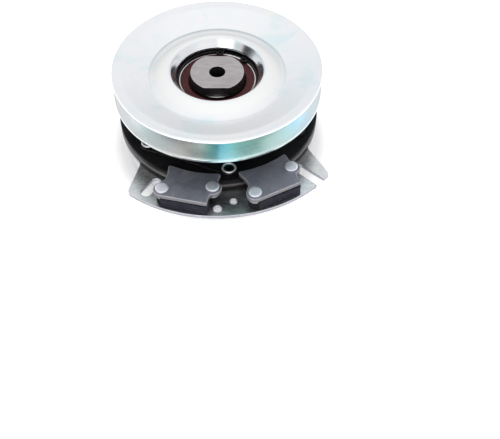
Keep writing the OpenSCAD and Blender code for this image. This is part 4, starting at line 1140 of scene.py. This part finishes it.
P = [(p, 0) for p in arc((0, 0), 20.0, -60, 240, 90)]
P += [(pol(20.6, 243), 0.6), (pol(21.7, 246), 0.9), (pol(21.6, 250.5), 0.9), (pol(17.4, 252), 0.4)]
P += [(p, 0) for p in arc((0, 0), 16.7, 250, -70, 90)]
P += [(pol(17.4, -72), 0.4), (pol(21.6, -70.5), 0.9), (pol(21.7, -66), 0.9), (pol(20.6, -63), 0.6)]
slab("crank_side_ring", rounded(P), [circle(*pol(19.8, 248), 0.9, 20), circle(*pol(19.8, -68), 0.9, 20)], 1.32, 3.0, "snap_black", "rotor", "black_steel", "hub_retaining_ring", top=0.2, bot=0.2, n=3)
lathe("lining_ring", fil([(62.02, rot_z1 - 1.5, 0), (68.98, rot_z1 - 1.5, 0), (68.98, rot_z1, 0.15), (62.02, rot_z1, 0.15)], 3), "friction_lining", "rotor", "friction_lining", "friction_ring", segs=144)

# ---------------------------------------------------------------- CAD nodes that stay: rounded edges and finishes
keepers = {
    "armature_disc": ("armature_black", "black_steel", 0.45),
    "rotor_disc": ("rotor_black", "black_steel", 0.35),
    "drive_spider": ("black_steel", "black_steel", 0.35),
    "pulley_hub": ("zinc_bright", "zinc_bright", 0.25),
    "rotor_hub": ("hub_steel", "hub_steel", 0.25),
    "field_bearing_outer": ("ground_steel", "ground_steel", 0.12),
    "field_bearing_inner": ("ground_steel", "ground_steel", 0.12),
    "pulley_bearing_outer": ("ground_steel", "ground_steel", 0.12),
    "pulley_bearing_inner": ("ground_steel", "ground_steel", 0.12),
    "field_bearing_balls": ("bearing_steel", "bearing_steel", 0),
    "pulley_bearing_balls": ("bearing_steel", "bearing_steel", 0),
    "field_bearing_cage": ("cage_brass", "cage_brass", 0),
    "pulley_bearing_cage": ("cage_brass", "cage_brass", 0),
}
for node, (mat, slot, bev) in keepers.items():
    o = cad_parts[node]
    o.data.materials.clear()
    o.data.materials.append(M[mat])
    for f in o.data.polygons:
        f.use_smooth = True
    w = o.modifiers.new("join", "WELD")
    w.merge_threshold = 2e-6
    if bev:
        b = o.modifiers.new("round", "BEVEL")
        b.limit_method, b.angle_limit = "ANGLE", math.radians(32)
        b.width, b.segments = bev * MM, 3
        b.use_clamp_overlap = True
        b.harden_normals = True

# ---------------------------------------------------------------- floor, light
fm = bpy.data.materials.new("floor")
fm.use_nodes = True
fb = fm.node_tree.nodes["Principled BSDF"]
fb.inputs["Base Color"].default_value = (0.90, 0.90, 0.90, 1)
fb.inputs["Roughness"].default_value = 0.75
fb.inputs["Specular IOR Level"].default_value = 0.2
fb.inputs["Emission Color"].default_value = (1, 1, 1, 1)
ft = fm.node_tree
f_co = ft.nodes.new("ShaderNodeTexCoord")
f_len = ft.nodes.new("ShaderNodeVectorMath")
f_len.operation = "LENGTH"
ft.links.new(f_co.outputs["Object"], f_len.inputs[0])
# the floor glows by radius: weakly beneath the part, keeping painted shade in the slots and holes, and strongly outside
# it, washing out its shadow
floor_glow_by_radius = ft.nodes.new("ShaderNodeMapRange")
for i_, v_ in ((1, 0.077), (2, 0.091), (3, 0.08), (4, 0.62)):
    floor_glow_by_radius.inputs[i_].default_value = v_
ft.links.new(f_len.outputs["Value"], floor_glow_by_radius.inputs[0])
ft.links.new(floor_glow_by_radius.outputs[0], fb.inputs["Emission Strength"])
me = bpy.data.meshes.new("floor")
me.from_pydata([(-6, -6, -0.0003), (6, -6, -0.0003), (6, 6, -0.0003), (-6, 6, -0.0003)], [], [(0, 1, 2, 3)])
me.materials.append(fm)
floor = bpy.data.objects.new("floor", me)
scene.collection.objects.link(floor)

# a white tent: brightest overhead, greyer towards the horizon, with bright and dark panels standing round it
world = bpy.data.worlds.new("studio")
scene.world = world
world.use_nodes = True
wt = world.node_tree
bg = wt.nodes["Background"]


def wnode(kind, **values):
    n = wt.nodes.new("ShaderNode" + kind)
    for key, v in values.items():
        setattr(n, key, v)
    return n


def wramp(stops, fac):
    n = wnode("ValToRGB")
    el = n.color_ramp.elements
    while len(el) < len(stops):
        el.new(0.5)
    for e, (pos, v) in zip(el, stops):
        e.position, e.color = pos, (v, v, v, 1)
    wt.links.new(fac, n.inputs[0])
    return n.outputs[0]


tc = wnode("TexCoord")
sx = wnode("SeparateXYZ")
wt.links.new(tc.outputs["Generated"], sx.inputs[0])
az = wnode("Math", operation="ARCTAN2")
wt.links.new(sx.outputs[1], az.inputs[0])
wt.links.new(sx.outputs[0], az.inputs[1])
turn = wnode("MapRange")
turn.inputs[1].default_value, turn.inputs[2].default_value = -math.pi, math.pi
wt.links.new(az.outputs[0], turn.inputs[0])
D = lambda deg: (deg + 180) / 360
panels = wramp([(0.0, 0.22), (D(-176), 0.16), (D(-169), 0.05), (D(-156), 0.05), (D(-151), 0.66), (D(-128), 0.64), (D(-119), 0.72), (D(-116), 1.10), (D(-99), 1.10),
                (D(-96.5), 0.62), (D(-88), 0.62), (D(-85.5), 1.10), (D(-58), 1.06), (D(-38), 0.88), (D(-18), 0.80), (D(10), 0.85), (D(40), 0.80), (D(145), 0.80), (D(166), 0.85), (1.0, 0.22)], turn.outputs[0])
sky = wramp([(0.0, 0.42), (0.06, 0.52), (0.14, 0.66), (0.24, 0.78), (0.42, 0.88), (0.60, 0.92), (0.80, 0.96), (1.0, 1.03)], sx.outputs[2])
rise = wnode("MapRange", interpolation_type="SMOOTHSTEP")
rise.inputs[1].default_value, rise.inputs[2].default_value = 0.30, 0.44
wt.links.new(sx.outputs[2], rise.inputs[0])
front = wnode("MapRange", interpolation_type="SMOOTHSTEP")
front.inputs[1].default_value, front.inputs[2].default_value = 0.05, 0.30
front.inputs[3].default_value, front.inputs[4].default_value = 0.0, 1.0
wt.links.new(sx.outputs[1], front.inputs[0])
upper = wnode("Math", operation="MAXIMUM")
wt.links.new(rise.outputs[0], upper.inputs[0])
wt.links.new(front.outputs[0], upper.inputs[1])
mixer = wnode("Mix", data_type="RGBA")
wt.links.new(upper.outputs[0], mixer.inputs[0])
wt.links.new(panels, mixer.inputs[6])
wt.links.new(sky, mixer.inputs[7])
wt.links.new(mixer.outputs[2], bg.inputs["Color"])
bg.inputs["Strength"].default_value = 1.0


def softbox(name, loc, aim, size, power, tint=(1, 1, 1)):
    ld = bpy.data.lights.new(name, "AREA")
    ld.shape, ld.size, ld.size_y = "RECTANGLE", size[0], size[1]
    ld.energy, ld.color = power, tint
    o = bpy.data.objects.new(name, ld)
    o.location = loc
    o.rotation_euler = (Vector(aim) - Vector(loc)).to_track_quat("-Z", "Y").to_euler()
    scene.collection.objects.link(o)
    return o


softbox("front_box", (-0.35, -0.9, 0.55), (0, 0, 0.03), (0.6, 0.3), 0.8)
